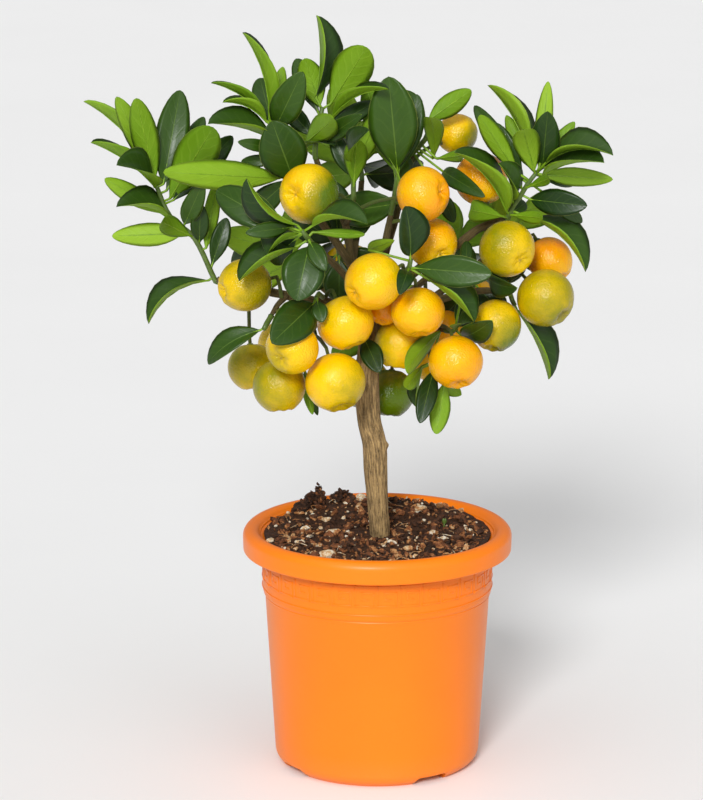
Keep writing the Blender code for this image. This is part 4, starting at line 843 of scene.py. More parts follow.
def add_tube(bm, path, radii, sides=8, material=0, skin=None):
    """Adds a closed tube along a path; skin(point, out) may move a point of its surface.

    Its UV map runs once around, and along in metres."""
    if len(radii) < len(path):
        radii = spread_radii(radii, len(path))
    reach = [0.0]
    for a, b in zip(path, path[1:]):
        reach.append(reach[-1] + (b - a).length)
    frames = []
    for index in range(len(path)):
        ahead = path[min(index + 1, len(path) - 1)] - path[max(index - 1, 0)]
        turn = ahead.to_track_quat("Z", "Y") if not frames else frames[-1]
        if frames:
            turn = (turn @ Vector((0, 0, 1))).rotation_difference(ahead) @ turn
        frames.append(turn)
    places = rolled_grid(bm, len(path) - 1, sides)
    uv_map = bm.loops.layers.uv.active
    row_of = {}
    for vert, row, place in places:
        angle = 2 * math.pi * (place % sides) / sides
        out = frames[row] @ Vector((math.cos(angle), math.sin(angle), 0))
        spot = path[row] + out * radii[row]
        vert.co = skin(spot, out) if skin else spot
        row_of[vert] = row
    for face in faces_of(row_of):
        for loop in face.loops:
            loop[uv_map].uv.y, loop[uv_map].uv.x = reach[row_of[loop.vert]], loop[uv_map].uv.y
    faces = close_seam(bm, places)
    bmesh.ops.recalc_face_normals(bm, faces=faces)
    for face in faces:
        face.material_index = material
    return faces


def set_tone(bm, faces, value, name="tone"):
    """Gives the points of some faces a value that their material reads."""
    layer = bm.verts.layers.float.get(name) or bm.verts.layers.float.new(name)
    for face in faces:
        for vert in face.verts:
            vert[layer] = value


def cut_away(obj, cutters):
    """Cuts shapes out of a finished piece and leaves no modifier behind."""
    helpers = []
    for index, bm in enumerate(cutters):
        mesh = bpy.data.meshes.new(f"{obj.name}_cutter_{index + 1}")
        bm.to_mesh(mesh)
        bm.free()
        helper = bpy.data.objects.new(mesh.name, mesh)
        bpy.context.scene.collection.objects.link(helper)
        helpers.append(helper)
        cut = obj.modifiers.new(helper.name, "BOOLEAN")
        cut.operation = "DIFFERENCE"
        cut.solver = "EXACT"
        cut.object = helper
    graph = bpy.context.evaluated_depsgraph_get()
    whole = bpy.data.meshes.new_from_object(obj.evaluated_get(graph))
    obj.modifiers.clear()
    obj.data = whole
    for helper in helpers:
        bpy.data.objects.remove(helper, do_unlink=True)


# ---------------------------------------------------------------- material helpers

def give(tree, socket, value):
    """Links a value that is a socket, and sets any other."""
    if isinstance(value, bpy.types.NodeSocket):
        tree.links.new(value, socket)
    else:
        socket.default_value = value


def add_node(tree, kind, values=None, **settings):
    """A node with its settings and its input values."""
    node = tree.nodes.new(kind)
    for key, value in settings.items():
        setattr(node, key, value)
    for key, value in (values or {}).items():
        give(tree, node.inputs[key], value)
    return node


def math_node(tree, operation, a, b=0.0):
    return add_node(tree, "ShaderNodeMath", {0: a, 1: b}, operation=operation).outputs[0]


def plus(tree, a, b):
    return math_node(tree, "ADD", a, b)


def minus(tree, a, b):
    return math_node(tree, "SUBTRACT", a, b)


def times(tree, a, b):
    return math_node(tree, "MULTIPLY", a, b)


def map_range(tree, value, low=0.0, high=1.0, start=0.0, end=1.0, **settings):
    """Runs from start to end while the value runs from low to high."""
    values = {0: value, 1: low, 2: high, 3: start, 4: end}
    return add_node(tree, "ShaderNodeMapRange", values, **settings).outputs[0]


def component(tree, vector, axis):
    """One number of a vector: 0 for x, 1 for y, 2 for z."""
    return add_node(tree, "ShaderNodeSeparateXYZ", {0: vector}).outputs[axis]


def blend(tree, factor, a, b, mode="MIX"):
    """A colour mix: a where the factor is 0, b where it is 1."""
    mix = add_node(tree, "ShaderNodeMix", data_type="RGBA", blend_type=mode)
    for socket, value in ((mix.inputs[0], factor), (mix.inputs[6], a), (mix.inputs[7], b)):
        give(tree, socket, value)
    return mix.outputs[2]


def ramp(tree, factor, stops):
    """A colour ramp; each stop holds a place and a colour."""
    node = add_node(tree, "ShaderNodeValToRGB", {0: factor})
    elements = node.color_ramp.elements
    while len(elements) < len(stops):
        elements.new(0.5)
    for element, (place, colour) in zip(elements, stops):
        element.position = place
        element.color = rgba(colour)
    return node.outputs[0]


def rgba(colour):
    return (*tuple(colour)[:3], 1.0)


def noise_at(tree, vector, scale, detail=4.0, roughness=0.55, distortion=0.0):
    values = {"Vector": vector, "Scale": scale, "Detail": detail, "Roughness": roughness,
              "Distortion": distortion}
    return add_node(tree, "ShaderNodeTexNoise", values).outputs[0]


def object_place(tree):
    return add_node(tree, "ShaderNodeTexCoord").outputs["Object"]


def attribute(tree, name):
    return add_node(tree, "ShaderNodeAttribute", attribute_name=name).outputs["Fac"]


def new_material(name, roughness=0.5, coat=0.0, coat_roughness=0.1, specular=0.5):
    """A material with its Principled shader; returns the material, its tree and its shader."""
    made = bpy.data.materials.new(name)
    made.use_nodes = True
    shader = made.node_tree.nodes["Principled BSDF"]
    shader.inputs["Roughness"].default_value = roughness
    shader.inputs["Coat Weight"].default_value = coat
    shader.inputs["Coat Roughness"].default_value = coat_roughness
    shader.inputs["Specular IOR Level"].default_value = specular
    return made, made.node_tree, shader


def new_group(name, inputs, outputs):
    """An empty shader group; inputs hold a name, a socket kind and a default."""
    group = bpy.data.node_groups.new(name, "ShaderNodeTree")
    for label, kind, default in inputs:
        socket = group.interface.new_socket(label, in_out="INPUT", socket_type=kind)
        if default is not None:
            socket.default_value = default
    for label, kind in outputs:
        group.interface.new_socket(label, in_out="OUTPUT", socket_type=kind)
    return group, group.nodes.new("NodeGroupInput").outputs, group.nodes.new("NodeGroupOutput")


def use_group(tree, group, values):
    return add_node(tree, "ShaderNodeGroup", values, node_tree=group).outputs


def set_look(tree, shader, colour, roughness=None, height=None, distance=0.0005, strength=1.0):
    """Links what varies over the surface to the shader."""
    tree.links.new(colour, shader.inputs["Base Color"])
    if roughness is not None:
        tree.links.new(roughness, shader.inputs["Roughness"])
    if height is not None:
        values = {"Height": height, "Distance": distance, "Strength": strength}
        tree.links.new(add_node(tree, "ShaderNodeBump", values).outputs[0], shader.inputs["Normal"])


@functools.cache
def mottling_group():
    """Two colours in soft patches over a finer grain."""
    group, given, out = new_group("Mottling", [
        ("Vector", "NodeSocketVector", None), ("Patch Scale", "NodeSocketFloat", 60.0),
        ("Grain Scale", "NodeSocketFloat", 600.0), ("Grain Share", "NodeSocketFloat", 0.3),
        ("Dark", "NodeSocketColor", (0.1, 0.1, 0.1, 1.0)),
        ("Light", "NodeSocketColor", (0.5, 0.5, 0.5, 1.0)),
    ], [("Color", "NodeSocketColor"), ("Mask", "NodeSocketFloat")])
    patches = noise_at(group, given["Vector"], given["Patch Scale"], 3.0)
    grain = noise_at(group, given["Vector"], given["Grain Scale"], 2.0)
    both = add_node(group, "ShaderNodeMix", {0: given["Grain Share"], 2: patches, 3: grain}).outputs[0]
    mask = map_range(group, both, 0.36, 0.64)
    group.links.new(blend(group, mask, given["Dark"], given["Light"]), out.inputs["Color"])
    group.links.new(mask, out.inputs["Mask"])
    return group


@functools.cache
def leaf_veins_group():
    """Masks of a leaf's midrib, side veins and margin, from a map that runs along and across it."""
    group, given, out = new_group("Leaf Veins", [
        ("Vein Count", "NodeSocketFloat", 9.0), ("Rib Width", "NodeSocketFloat", 0.035),
    ], [("Midrib", "NodeSocketFloat"), ("Veins", "NodeSocketFloat"), ("Margin", "NodeSocketFloat")])
    split = add_node(group, "ShaderNodeSeparateXYZ", {0: add_node(group, "ShaderNodeUVMap").outputs[0]})
    along = split.outputs[0]
    off = math_node(group, "ABSOLUTE", minus(group, split.outputs[1], 0.5))
    taper = times(group, given["Rib Width"], minus(group, 1.15, along))
    rib = map_range(group, off, taper, 0.0, interpolation_type="SMOOTHSTEP")
    wander = noise_at(group, object_place(group), 90.0, 2.0)
    slant = times(group, off, 3.4)
    run = minus(group, times(group, along, given["Vein Count"]), slant)
    run = plus(group, run, times(group, wander, 0.9))
    beat = math_node(group, "ABSOLUTE", minus(group, math_node(group, "FRACT", run), 0.5))
    line = map_range(group, beat, 0.13, 0.0)
    fade = map_range(group, off, 0.47, 0.30)
    edge = map_range(group, off, 0.475, 0.495)
    group.links.new(rib, out.inputs["Midrib"])
    group.links.new(times(group, line, fade), out.inputs["Veins"])
    group.links.new(edge, out.inputs["Margin"])
    return group


@functools.cache
def grain_group():
    """Streaks that follow a tube: stretched along it and closed all round."""
    group, given, out = new_group("Grain Along A Branch", [
        ("Streaks Around", "NodeSocketFloat", 7.0), ("Stretch", "NodeSocketFloat", 60.0),
    ], [("Streaks", "NodeSocketFloat"), ("Fibres", "NodeSocketFloat")])
    split = add_node(group, "ShaderNodeSeparateXYZ", {0: add_node(group, "ShaderNodeUVMap").outputs[0]})
    turn = times(group, split.outputs[0], 2 * math.pi)
    across = math_node(group, "COSINE", turn)
    deep = math_node(group, "SINE", turn)
    along = times(group, split.outputs[1], given["Stretch"])
    rolled = add_node(group, "ShaderNodeCombineXYZ", {0: across, 1: deep, 2: along}).outputs[0]
    streaks = noise_at(group, rolled, times(group, given["Streaks Around"], 0.35), 4.0, 0.6, 0.6)
    fibres = noise_at(group, rolled, given["Streaks Around"], 3.0, 0.6)
    group.links.new(streaks, out.inputs["Streaks"])
    group.links.new(fibres, out.inputs["Fibres"])
    return group


# ---------------------------------------------------------------- sizes and colours that a user sets

def colour_property(name, description, default):
    return FloatVectorProperty(name=name, description=description, default=default,
                               subtype="COLOR", size=3, min=0.0, max=1.0)


def length_property(name, description, default):
    return FloatProperty(name=name, description=description, default=default, unit="LENGTH", min=0.0)


def strength_property(name, description, default):
    return FloatProperty(name=name, description=description, default=default, min=0.0)


class PotSettings(bpy.types.PropertyGroup):
    """The plastic pot."""

    colour: colour_property("Colour", "The plastic where light falls on it squarely", (0.93, 0.215, 0.004))
    shade_colour: colour_property("Worn Colour", "The plastic where it is thick or worn",
                                  (0.80, 0.125, 0.003))
    key_relief: length_property("Key Relief", "How far the key pattern stands out of the band", 0.00014)
    key_count: IntProperty(name="Keys", description="Key figures round the band", default=32, min=8, max=48)


class SoilSettings(bpy.types.PropertyGroup):
    """The potting soil and what lies on it."""

    chip_count: IntProperty(name="Bark Chips", description="Loose chips of bark and peat",
                            default=1500, min=0)
    stone_count: IntProperty(name="Stones", description="Small stones and white grains", default=90, min=0)
    fibre_count: IntProperty(name="Fibres", description="Bits of root and twig", default=70, min=0)
    dark: colour_property("Peat", "The darkest soil", (0.020, 0.009, 0.005))
    warm: colour_property("Bark", "The red-brown bark in the soil", (0.150, 0.058, 0.028))


class WoodSettings(bpy.types.PropertyGroup):
    """The trunk, its limbs and the fruit stalks."""

    ridge_depth: length_property("Ridge Depth", "How deep the bark is furrowed", 0.00028)
    dark: colour_property("Furrows", "The bark between its ridges", (0.085, 0.050, 0.020))
    light: colour_property("Ridges", "The bark's weathered ridges", (0.560, 0.370, 0.155))
    green: colour_property("Green Wood", "Young twigs and fruit stalks", (0.115, 0.190, 0.030))


class FruitSettings(bpy.types.PropertyGroup):
    """The fruit's rind."""

    unripe: colour_property("Unripe", "Green rind", (0.095, 0.160, 0.001))
    turning: colour_property("Turning", "Yellow rind", (0.880, 0.555, 0.0))
    ripe: colour_property("Ripe", "Orange rind", (0.940, 0.290, 0.0))
    pore_depth: length_property("Pore Depth", "How deep the rind's pores are", 0.00034)


class LeafSettings(bpy.types.PropertyGroup):
    """The leaves."""

    upper: colour_property("Upper Side", "The glossy side of a grown leaf", (0.010, 0.034, 0.003))
    upper_young: colour_property("Young Upper Side", "The glossy side of a young leaf",
                                 (0.034, 0.085, 0.004))
    under: colour_property("Underside", "The matt side of a leaf", (0.130, 0.265, 0.004))
    under_pale: colour_property("Young Underside", "The matt side of a young leaf", (0.270, 0.450, 0.020))
    thickness: length_property("Thickness", "The blade beside its midrib", 0.0004)


class StageSettings(bpy.types.PropertyGroup):
    """The floor, the lamps and the camera."""

    floor: colour_property("Floor", "The studio floor", (0.90, 0.90, 0.90))
    key_strength: strength_property("Key Lamp", "The broad lamp by the camera", 2.5)
    fill_strength: strength_property("Fill Lamp", "The lamp to the right", 0.35)
    sky: strength_property("Room Light", "Even light from all round", 0.36)
    top_strength: strength_property("Top Lamp", "The lamp overhead", 0.6)


# ---------------------------------------------------------------- the pot

def arc(centre, radius, start, end, steps):
    """Points of an arc in the profile's plane; angles in degrees from +X."""
    turns = [math.radians(start + (end - start) * i / steps) for i in range(steps + 1)]
    return [(centre[0] + radius * math.cos(t), centre[1] + radius * math.sin(t)) for t in turns]


def body_radius(height):
    """The pot's outer radius between its foot and its band."""
    share = (height - FOOT_ROUND) / (BAND_FOOT - FOOT_ROUND)
    return BODY_FOOT_RADIUS + (BODY_TOP_RADIUS - BODY_FOOT_RADIUS) * share


def inner_profile():
    """The pot's inner side, from the axis out and up to the lip."""
    floor = FOOT_HEIGHT + POT_FLOOR
    return [(0.0, floor), (body_radius(floor) - POT_WALL - 0.004, floor),
            (body_radius(floor + 0.004) - POT_WALL, floor + 0.004),
            (BODY_TOP_RADIUS - POT_WALL, BAND_FOOT - 0.001), (BAND_RADIUS - POT_WALL, BAND_FOOT + 0.002),
            (BAND_RADIUS - POT_WALL, POT_HEIGHT - 0.006)]


def pot_profile():
    """The moulded pot, from the floor's middle up inside, over the rolled rim and down to the foot."""
    skirt_foot = POT_HEIGHT - RIM_DROP
    lip = [(LIP_RADIUS, POT_HEIGHT - 0.0045), (LIP_RADIUS + 0.0003, POT_HEIGHT - 0.0036)]
    shoulder = arc((RIM_RADIUS - RIM_ROUND, POT_HEIGHT - RIM_ROUND), RIM_ROUND, 156, 0, 16)
    skirt = [(RIM_RADIUS - 0.0001, skirt_foot + 0.0040)]
    skirt += arc((RIM_RADIUS - 0.0015, skirt_foot + SKIRT_ROUND), SKIRT_ROUND, 0, -100, 5)
    under = [(RIM_RADIUS - POT_WALL - 0.0006, skirt_foot + 0.0016),
             (RIM_RADIUS - POT_WALL - 0.0008, POT_HEIGHT - 0.0060),
             (RIM_RADIUS - 0.0045, POT_HEIGHT - POT_WALL - 0.0014),
             (BAND_RADIUS + 0.0030, POT_HEIGHT - POT_WALL - 0.0012),
             (BAND_RADIUS + 0.0004, POT_HEIGHT - 0.0050), (BAND_RADIUS, POT_HEIGHT - 0.0070)]
    bead = arc((BAND_RADIUS - 0.0002, BAND_FOOT + BEAD_RISE), BEAD_ROUND, 80, -80, 4)
    band = [(BAND_RADIUS - 0.0004, BAND_FOOT + 0.0022), (BAND_RADIUS - 0.0008, BAND_FOOT + 0.0006),
            (BAND_RADIUS - 0.0014, BAND_FOOT)]
    body = [(BODY_TOP_RADIUS + 0.0006, BAND_FOOT - 0.0005), (BODY_TOP_RADIUS, BAND_FOOT - 0.0018)]
    foot = arc((BODY_FOOT_RADIUS - FOOT_ROUND, FOOT_ROUND), FOOT_ROUND, 0, -66, 9)
    ring_out = (BODY_FOOT_RADIUS - FOOT_ROUND + FOOT_ROUND * math.sin(math.radians(20)), 0.0)
    ring_in = ring_out[0] - FOOT_RING_WIDTH
    underside = [ring_out, (ring_in, 0.0), (ring_in - 0.001, FOOT_HEIGHT),
                 (CENTRE_FOOT_RADIUS + 0.001, FOOT_HEIGHT), (CENTRE_FOOT_RADIUS, 0.0), (0.0, 0.0)]
    return inner_profile() + lip + shoulder + skirt + under + bead + band + body + foot + underside


def pot_cutters():
    """The notches in the foot ring and the drain holes."""
    cutters = []
    for angle in FOOT_NOTCH_ANGLES:
        bm = bmesh.new()
        turn = Matrix.Rotation(math.radians(angle), 4, "Z")
        reach = Matrix.Diagonal((FOOT_NOTCH_LENGTH, FOOT_NOTCH_WIDTH, 2 * (FOOT_HEIGHT - 0.0005), 1))
        place = turn @ Matrix.Translation((FOOT_NOTCH_RING, 0, 0)) @ reach
        bmesh.ops.create_cube(bm, size=1.0, matrix=place)
        roof = []
        for edge in bm.edges:
            run = (turn.inverted() @ (edge.verts[0].co - edge.verts[1].co)).normalized()
            if abs(run.x) > 0.9 and min(vert.co.z for vert in edge.verts) > 0:
                roof.append(edge)
        bmesh.ops.bevel(bm, geom=roof, offset=FOOT_NOTCH_ROUND, offset_type="OFFSET", segments=4,
                        profile=0.5, affect="EDGES", material=-1)
        cutters.append(bm)
    for index in range(DRAIN_HOLES):
        bm = bmesh.new()
        turn = Matrix.Rotation(2 * math.pi * (index + 0.5) / DRAIN_HOLES, 4, "Z")
        place = turn @ Matrix.Translation((DRAIN_HOLE_RING, 0, FOOT_HEIGHT + POT_FLOOR / 2))
        bmesh.ops.create_cone(bm, cap_ends=True, segments=32, radius1=DRAIN_HOLE_RADIUS,
                              radius2=DRAIN_HOLE_RADIUS, depth=4 * POT_FLOOR, matrix=place)
        cutters.append(bm)
    return cutters


# One key figure: bars as x, z of one end and of the other, in rib widths on a figure 10 wide and 9 high
KEY_BARS = [(0, 0, 8, 0), (8, 0, 8, 6), (8, 6, 3, 6), (3, 6, 3, 3), (3, 3, 5.4, 3), (0, 0, 0, 9),
            (0, 9, 10, 9)]
KEY_WIDTH = 10  # rib widths from one figure to the next
KEY_BAR = 0.9  # breadth of a bar in rib widths
KEY_SUNK = 0.0006  # how far the bars run into the band
KEY_FOOT = 0.1205  # height of the key pattern's foot


def pot_key_relief(settings):
    """The key pattern, raised a little on the band."""
    bm = bmesh.new()
    cell = 2 * math.pi / settings.key_count
    rib = cell * BAND_RADIUS / KEY_WIDTH
    depth = settings.key_relief + KEY_SUNK
    for index in range(settings.key_count):
        for x1, z1, x2, z2 in KEY_BARS:
            wide, high = abs(x2 - x1) + KEY_BAR, abs(z2 - z1) + KEY_BAR
            angle = cell * (index + (x1 + x2) / 2 / KEY_WIDTH)
            place = (Matrix.Rotation(angle, 4, "Z")
                     @ Matrix.Translation((BAND_RADIUS + settings.key_relief - depth / 2, 0,
                                           KEY_FOOT + (z1 + z2) / 2 * rib))
                     @ Matrix.Diagonal((depth, wide * rib, high * rib, 1)))
            bmesh.ops.create_cube(bm, size=1.0, matrix=place)
    outer = [e for e in bm.edges if min(math.hypot(v.co.x, v.co.y) for v in e.verts) > BAND_RADIUS]
    bmesh.ops.bevel(bm, geom=outer, offset=settings.key_relief * 0.6, offset_type="OFFSET", segments=1,
                    profile=0.5, affect="EDGES", material=-1)
    return bm


DUSTY_FOOT = 0.020  # height that dust reaches on the pot
DUST = (0.55, 0.25, 0.10)


def pot_plastic(settings):
    made, tree, shader = new_material("pot_plastic", roughness=0.42, coat=0.03, coat_roughness=0.2,
                                      specular=0.30)
    place = object_place(tree)
    mottle = use_group(tree, mottling_group(), {
        "Vector": place, "Patch Scale": 14.0, "Grain Scale": 500.0, "Grain Share": 0.25,
        "Dark": rgba(settings.shade_colour), "Light": rgba(settings.colour)})
    soft = blend(tree, 0.16, rgba(settings.colour), mottle["Color"])
    height = component(tree, place, 2)
    low = map_range(tree, height, DUSTY_FOOT, 0.0)
    scuffs = noise_at(tree, place, 900.0, 2.0, 0.7)
    dust = times(tree, low, scuffs)
    colour = blend(tree, times(tree, dust, 0.35), soft, rgba(DUST))
    rough = map_range(tree, noise_at(tree, place, 40.0, 4.0), start=0.32, end=0.46)
    texture = noise_at(tree, place, 1400.0, 2.0, 0.5)
    set_look(tree, shader, colour, rough, texture, distance=0.00012, strength=0.35)
    return made


class CALAMONDIN_OT_pot(bpy.types.Operator):
    """Builds the pot with its rolled rim, key pattern and notched foot"""

    bl_idname = "calamondin.pot"
    bl_label = "Build Pot"

    def execute(self, context):
        settings = context.scene.calamondin_pot
        plastic = pot_plastic(settings)
        shell = spun(pot_profile(), POT_SEGMENTS)
        pot = finish_piece(shell, "moulded_pot", [plastic], ["pot"])
        cut_away(pot, pot_cutters())
        pot.data.set_sharp_from_angle(angle=math.radians(38))
        relief = finish_piece(pot_key_relief(settings), "pot_key_pattern", [plastic])
        relief.data.set_sharp_from_angle(angle=math.radians(50))
        return {"FINISHED"}


# ---------------------------------------------------------------- the soil

# Stones, chips and lumps that can be told apart: x, y, length, width, height (mm), turn (degrees), tone
SOIL_FINDS = [
    ("stone", 28, 37, 9, 6, 4, 20, 0.86), ("stone", 49, 16, 8, 5, 4, -30, 0.30),
    ("stone", 35, 2, 6, 4, 3, 40, 0.97), ("stone", -31, -52, 12, 9, 6, 10, 0.88),
    ("stone", 19, -37, 7, 5, 3.5, 0, 0.80), ("stone", -10, 60, 7, 6, 6, 0, 0.95),
    ("heap", -42, 46, 11, 8, 9, 30, 0.20), ("heap", -37, 51, 8, 7, 11, 110, 0.26),
    ("heap", -22, 57, 16, 9, 6, 10, 0.22), ("heap", -49, 36, 12, 7, 6, 50, 0.16),
    ("stone", -67, -19, 7, 5, 3, 60, 0.93), ("stone", -28, 4, 9, 6, 4, 15, 0.90),
    ("stone", -4, -46, 6, 4, 3, 60, 0.84), ("chip", -44, 6, 10, 3, 2, 35, 0.82),
    ("chip", -50, 32, 12, 4, 3, -20, 0.75), ("stone", -48, -20, 6, 5, 3, 5, 0.92),
    ("stone", 8, -20, 4, 3, 3, 0, 0.98), ("chip", 40, -30, 9, 4, 2, 10, 0.70),
]
SPROUT_FOOT = (42, 11)  # mm
FULL_TURN = 6.3  # radians, a little over one turn
TRUNK_FOOT_X = 0.0017  # where the trunk comes out of the soil
TRUNK_CLEAR = 0.0020  # soil kept bare round the trunk
SOIL_FLARE = 0.0010  # how much further the soil reaches at its top, under the rim's lip
SOIL_RINGS = 64
SOIL_SEGMENTS = 200
CRUMB_HEIGHT = 0.0015
CRUMB_SHARE = 0.75  # share of the loose chips that are crumbs
CRUMB_LENGTH = (1.4, 4.0)  # mm, the shortest and the longest
CHIP_LENGTH = (4.0, 8.0)
STONE_WIDTH = (1.4, 3.6)
STONE_TONES = (0.30, 0.84, 0.90, 0.95, 0.99)
FIBRE_LENGTH = (4, 13)
FIBRE_RADIUS = (0.15, 0.40)
FIBRE_END = 0.12
FIBRE_TONES = (0.15, 0.72, 0.80, 0.93)
HEAP_GRAINS = 110
HEAP_GRAIN = (2.0, 5.0)
SOIL_TONES = [(0.0, (0.007, 0.004, 0.002)), (0.34, (0.060, 0.024, 0.010)), (0.58, (0.250, 0.085, 0.028)),
              (0.74, (0.540, 0.240, 0.080)), (0.88, (0.740, 0.520, 0.280)), (1.0, (0.950, 0.870, 0.700))]


def ground(x, y):
    """The soil's surface with its crumbs."""
    crumbs = noise.fractal(Vector((x, y, 0.7)) * 150, 0.9, 2.1, 4)
    share = min(1.0, math.hypot(x, y) / LIP_RADIUS)
    return soil_height(x, y) + CRUMB_HEIGHT * crumbs * (1 - 0.6 * share**6)


def soil_body():
    """The soil: a crumbly top, and sides and a foot that fill the pot."""
    wall = [(max(r - CLEARANCE, 0.0), z) for r, z in inner_profile()]
    wall[0], wall[1] = (0.0, wall[0][1] + CLEARANCE), (wall[1][0], wall[1][1] + CLEARANCE)
    reach = wall[-1][0]
    top = [((reach + SOIL_FLARE) * index / SOIL_RINGS, POT_HEIGHT) for index in range(SOIL_RINGS + 1)]
    bm = spun(top + wall[:0:-1] + wall[:1], SOIL_SEGMENTS)
    for vert in bm.verts:
        if vert.co.z > POT_HEIGHT - 0.001:
            vert.co.z = ground(vert.co.x, vert.co.y)
    set_tone(bm, bm.faces, 0.2)
    return bm


def add_lump(bm, spot, size, turn, tone, dice, shards=False):
    """A rough stone, crumb or chip."""
    made = bmesh.ops.create_icosphere(bm, subdivisions=1 if shards else 2, radius=0.5)["verts"]
    wild = 0.16 if shards else 0.06
    for vert in made:
        vert.co += Vector([dice.uniform(-wild, wild) for _ in range(3)])
    place = Matrix.Translation(spot) @ turn.to_4x4() @ Matrix.Diagonal((*size, 1.0))
    bmesh.ops.transform(bm, matrix=place, verts=made)
    set_tone(bm, faces_of(made), tone)


def add_heap(bm, spot, size, turn, tone, dice):
    """A clump of crumbs and shreds stuck together, highest at its middle."""
    for _ in range(HEAP_GRAINS):
        out, angle = dice.random() ** 0.6, dice.uniform(0, 2 * math.pi)
        rise = dice.random() ** 0.8 * (1 - out**2) * size.z
        across, deep = out * size.x / 2 * math.cos(angle), out * size.y / 2 * math.sin(angle)
        place = spot + turn @ Vector((across, deep, rise))
        grain = dice.uniform(*HEAP_GRAIN) * MM
        crumb = Vector((grain, grain * dice.uniform(0.4, 0.8), grain * dice.uniform(0.3, 0.7)))
        lie, shade = random_turn(dice, 1.5), max(0.0, dice.gauss(tone, 0.16))
        add_lump(bm, place, crumb, lie, shade, dice, True)


def random_turn(dice, tilt):
    """A turn about the vertical by any angle, after a lean of up to the tilt."""
    lean = Matrix.Rotation(dice.uniform(-tilt, tilt), 3, "X")
    lean = lean @ Matrix.Rotation(dice.uniform(-tilt, tilt), 3, "Y")
    return Matrix.Rotation(dice.uniform(0, 2 * math.pi), 3, "Z") @ lean


def random_spot(dice, reach):
    """A spot on the soil, clear of the trunk."""
    while True:
        radius, angle = reach * math.sqrt(dice.random()), dice.uniform(0, 2 * math.pi)
        x, y = radius * math.cos(angle), radius * math.sin(angle)
        if math.hypot(x - TRUNK_FOOT_X, y) > TRUNK_FOOT_RADIUS + TRUNK_CLEAR:
            return x, y


def scatter_chips(bm, count, reach, dice):
    """Crumbs and longer chips of bark."""
    for _ in range(count):
        x, y = random_spot(dice, reach)
        length = dice.uniform(*(CRUMB_LENGTH if dice.random() < CRUMB_SHARE else CHIP_LENGTH))
        size = Vector((length, length * dice.uniform(0.35, 0.8), length * dice.uniform(0.25, 0.6))) * MM
        tone = min(0.95, abs(dice.gauss(0.46, 0.24)))
        spot = Vector((x, y, ground(x, y) + size.z * 0.35))
        add_lump(bm, spot, size, random_turn(dice, 0.9), tone, dice, True)


def scatter_stones(bm, count, reach, dice):
    """Small stones and white grains."""
    for _ in range(count):
        x, y = random_spot(dice, reach)
        across = dice.uniform(*STONE_WIDTH) * MM
        size = Vector((across, across * dice.uniform(0.7, 1.0), across * dice.uniform(0.5, 0.8)))
        tone = dice.choice(STONE_TONES)
        spot = Vector((x, y, ground(x, y) + size.z * 0.25))
        add_lump(bm, spot, size, random_turn(dice, 0.4), tone, dice)


def scatter_fibres(bm, count, reach, dice):
    """Bent bits of root and twig."""
    for _ in range(count):
        x, y = random_spot(dice, reach)
        across, deep = math.cos(dice.uniform(0, FULL_TURN)), math.sin(dice.uniform(0, FULL_TURN))
        heading = Vector((across, deep, 0)).normalized()
        start = Vector((x, y, ground(x, y) + 0.0008))
        length = dice.uniform(*FIBRE_LENGTH) * MM
        sway = [dice.uniform(-1, 1) * length * 0.25 for _ in range(2)]
        bend = Vector([*sway, dice.uniform(0.0005, 0.0022)])
        path = smooth_path([start, start + heading * length / 2 + bend, start + heading * length], 3)
        if all(math.hypot(p.x, p.y) < reach for p in path):
            faces = add_tube(bm, path, (dice.uniform(*FIBRE_RADIUS) * MM, FIBRE_END * MM), sides=5)
            set_tone(bm, faces, dice.choice(FIBRE_TONES))


def lay_finds(bm, dice):
    for kind, x, y, length, width, height, angle, tone in SOIL_FINDS:
        x, y = x * MM, y * MM
        turn = Matrix.Rotation(math.radians(angle), 3, "Z")
        size = Vector((length, width, height)) * MM
        spot = Vector((x, y, ground(x, y) + size.z * 0.22))
        if kind == "heap":
            add_heap(bm, spot, size, turn, tone, dice)
        else:
            add_lump(bm, spot, size, turn, tone, dice, kind == "chip")


def soil_litter(settings):
    """What lies loose on the soil."""
    dice = random.Random(7)
    bm = bmesh.new()
    reach = BAND_RADIUS - POT_WALL - 0.0015
    scatter_chips(bm, settings.chip_count, reach, dice)
    scatter_stones(bm, settings.stone_count, reach, dice)
    scatter_fibres(bm, settings.fibre_count, reach, dice)
    lay_finds(bm, dice)
    return bm


def soil_earth(settings):
    made, tree, shader = new_material("soil_earth", roughness=0.9, specular=0.3)
    place = object_place(tree)
    grain = minus(tree, noise_at(tree, place, 420.0, 5.0, 0.7), 0.5)
    tone = plus(tree, attribute(tree, "tone"), times(tree, grain, 1.15))
    crumbs = ramp(tree, tone, SOIL_TONES)
    wet = use_group(tree, mottling_group(), {
        "Vector": place, "Patch Scale": 120.0, "Grain Scale": 900.0, "Grain Share": 0.5,
        "Dark": rgba(settings.dark), "Light": rgba(settings.warm)})
    colour = blend(tree, 0.18, crumbs, wet["Color"])
    rough = map_range(tree, wet["Mask"], start=0.45, end=0.95)
    height = noise_at(tree, place, 1100.0, 5.0, 0.7)
    set_look(tree, shader, colour, rough, height, distance=0.0008, strength=0.9)
    return made


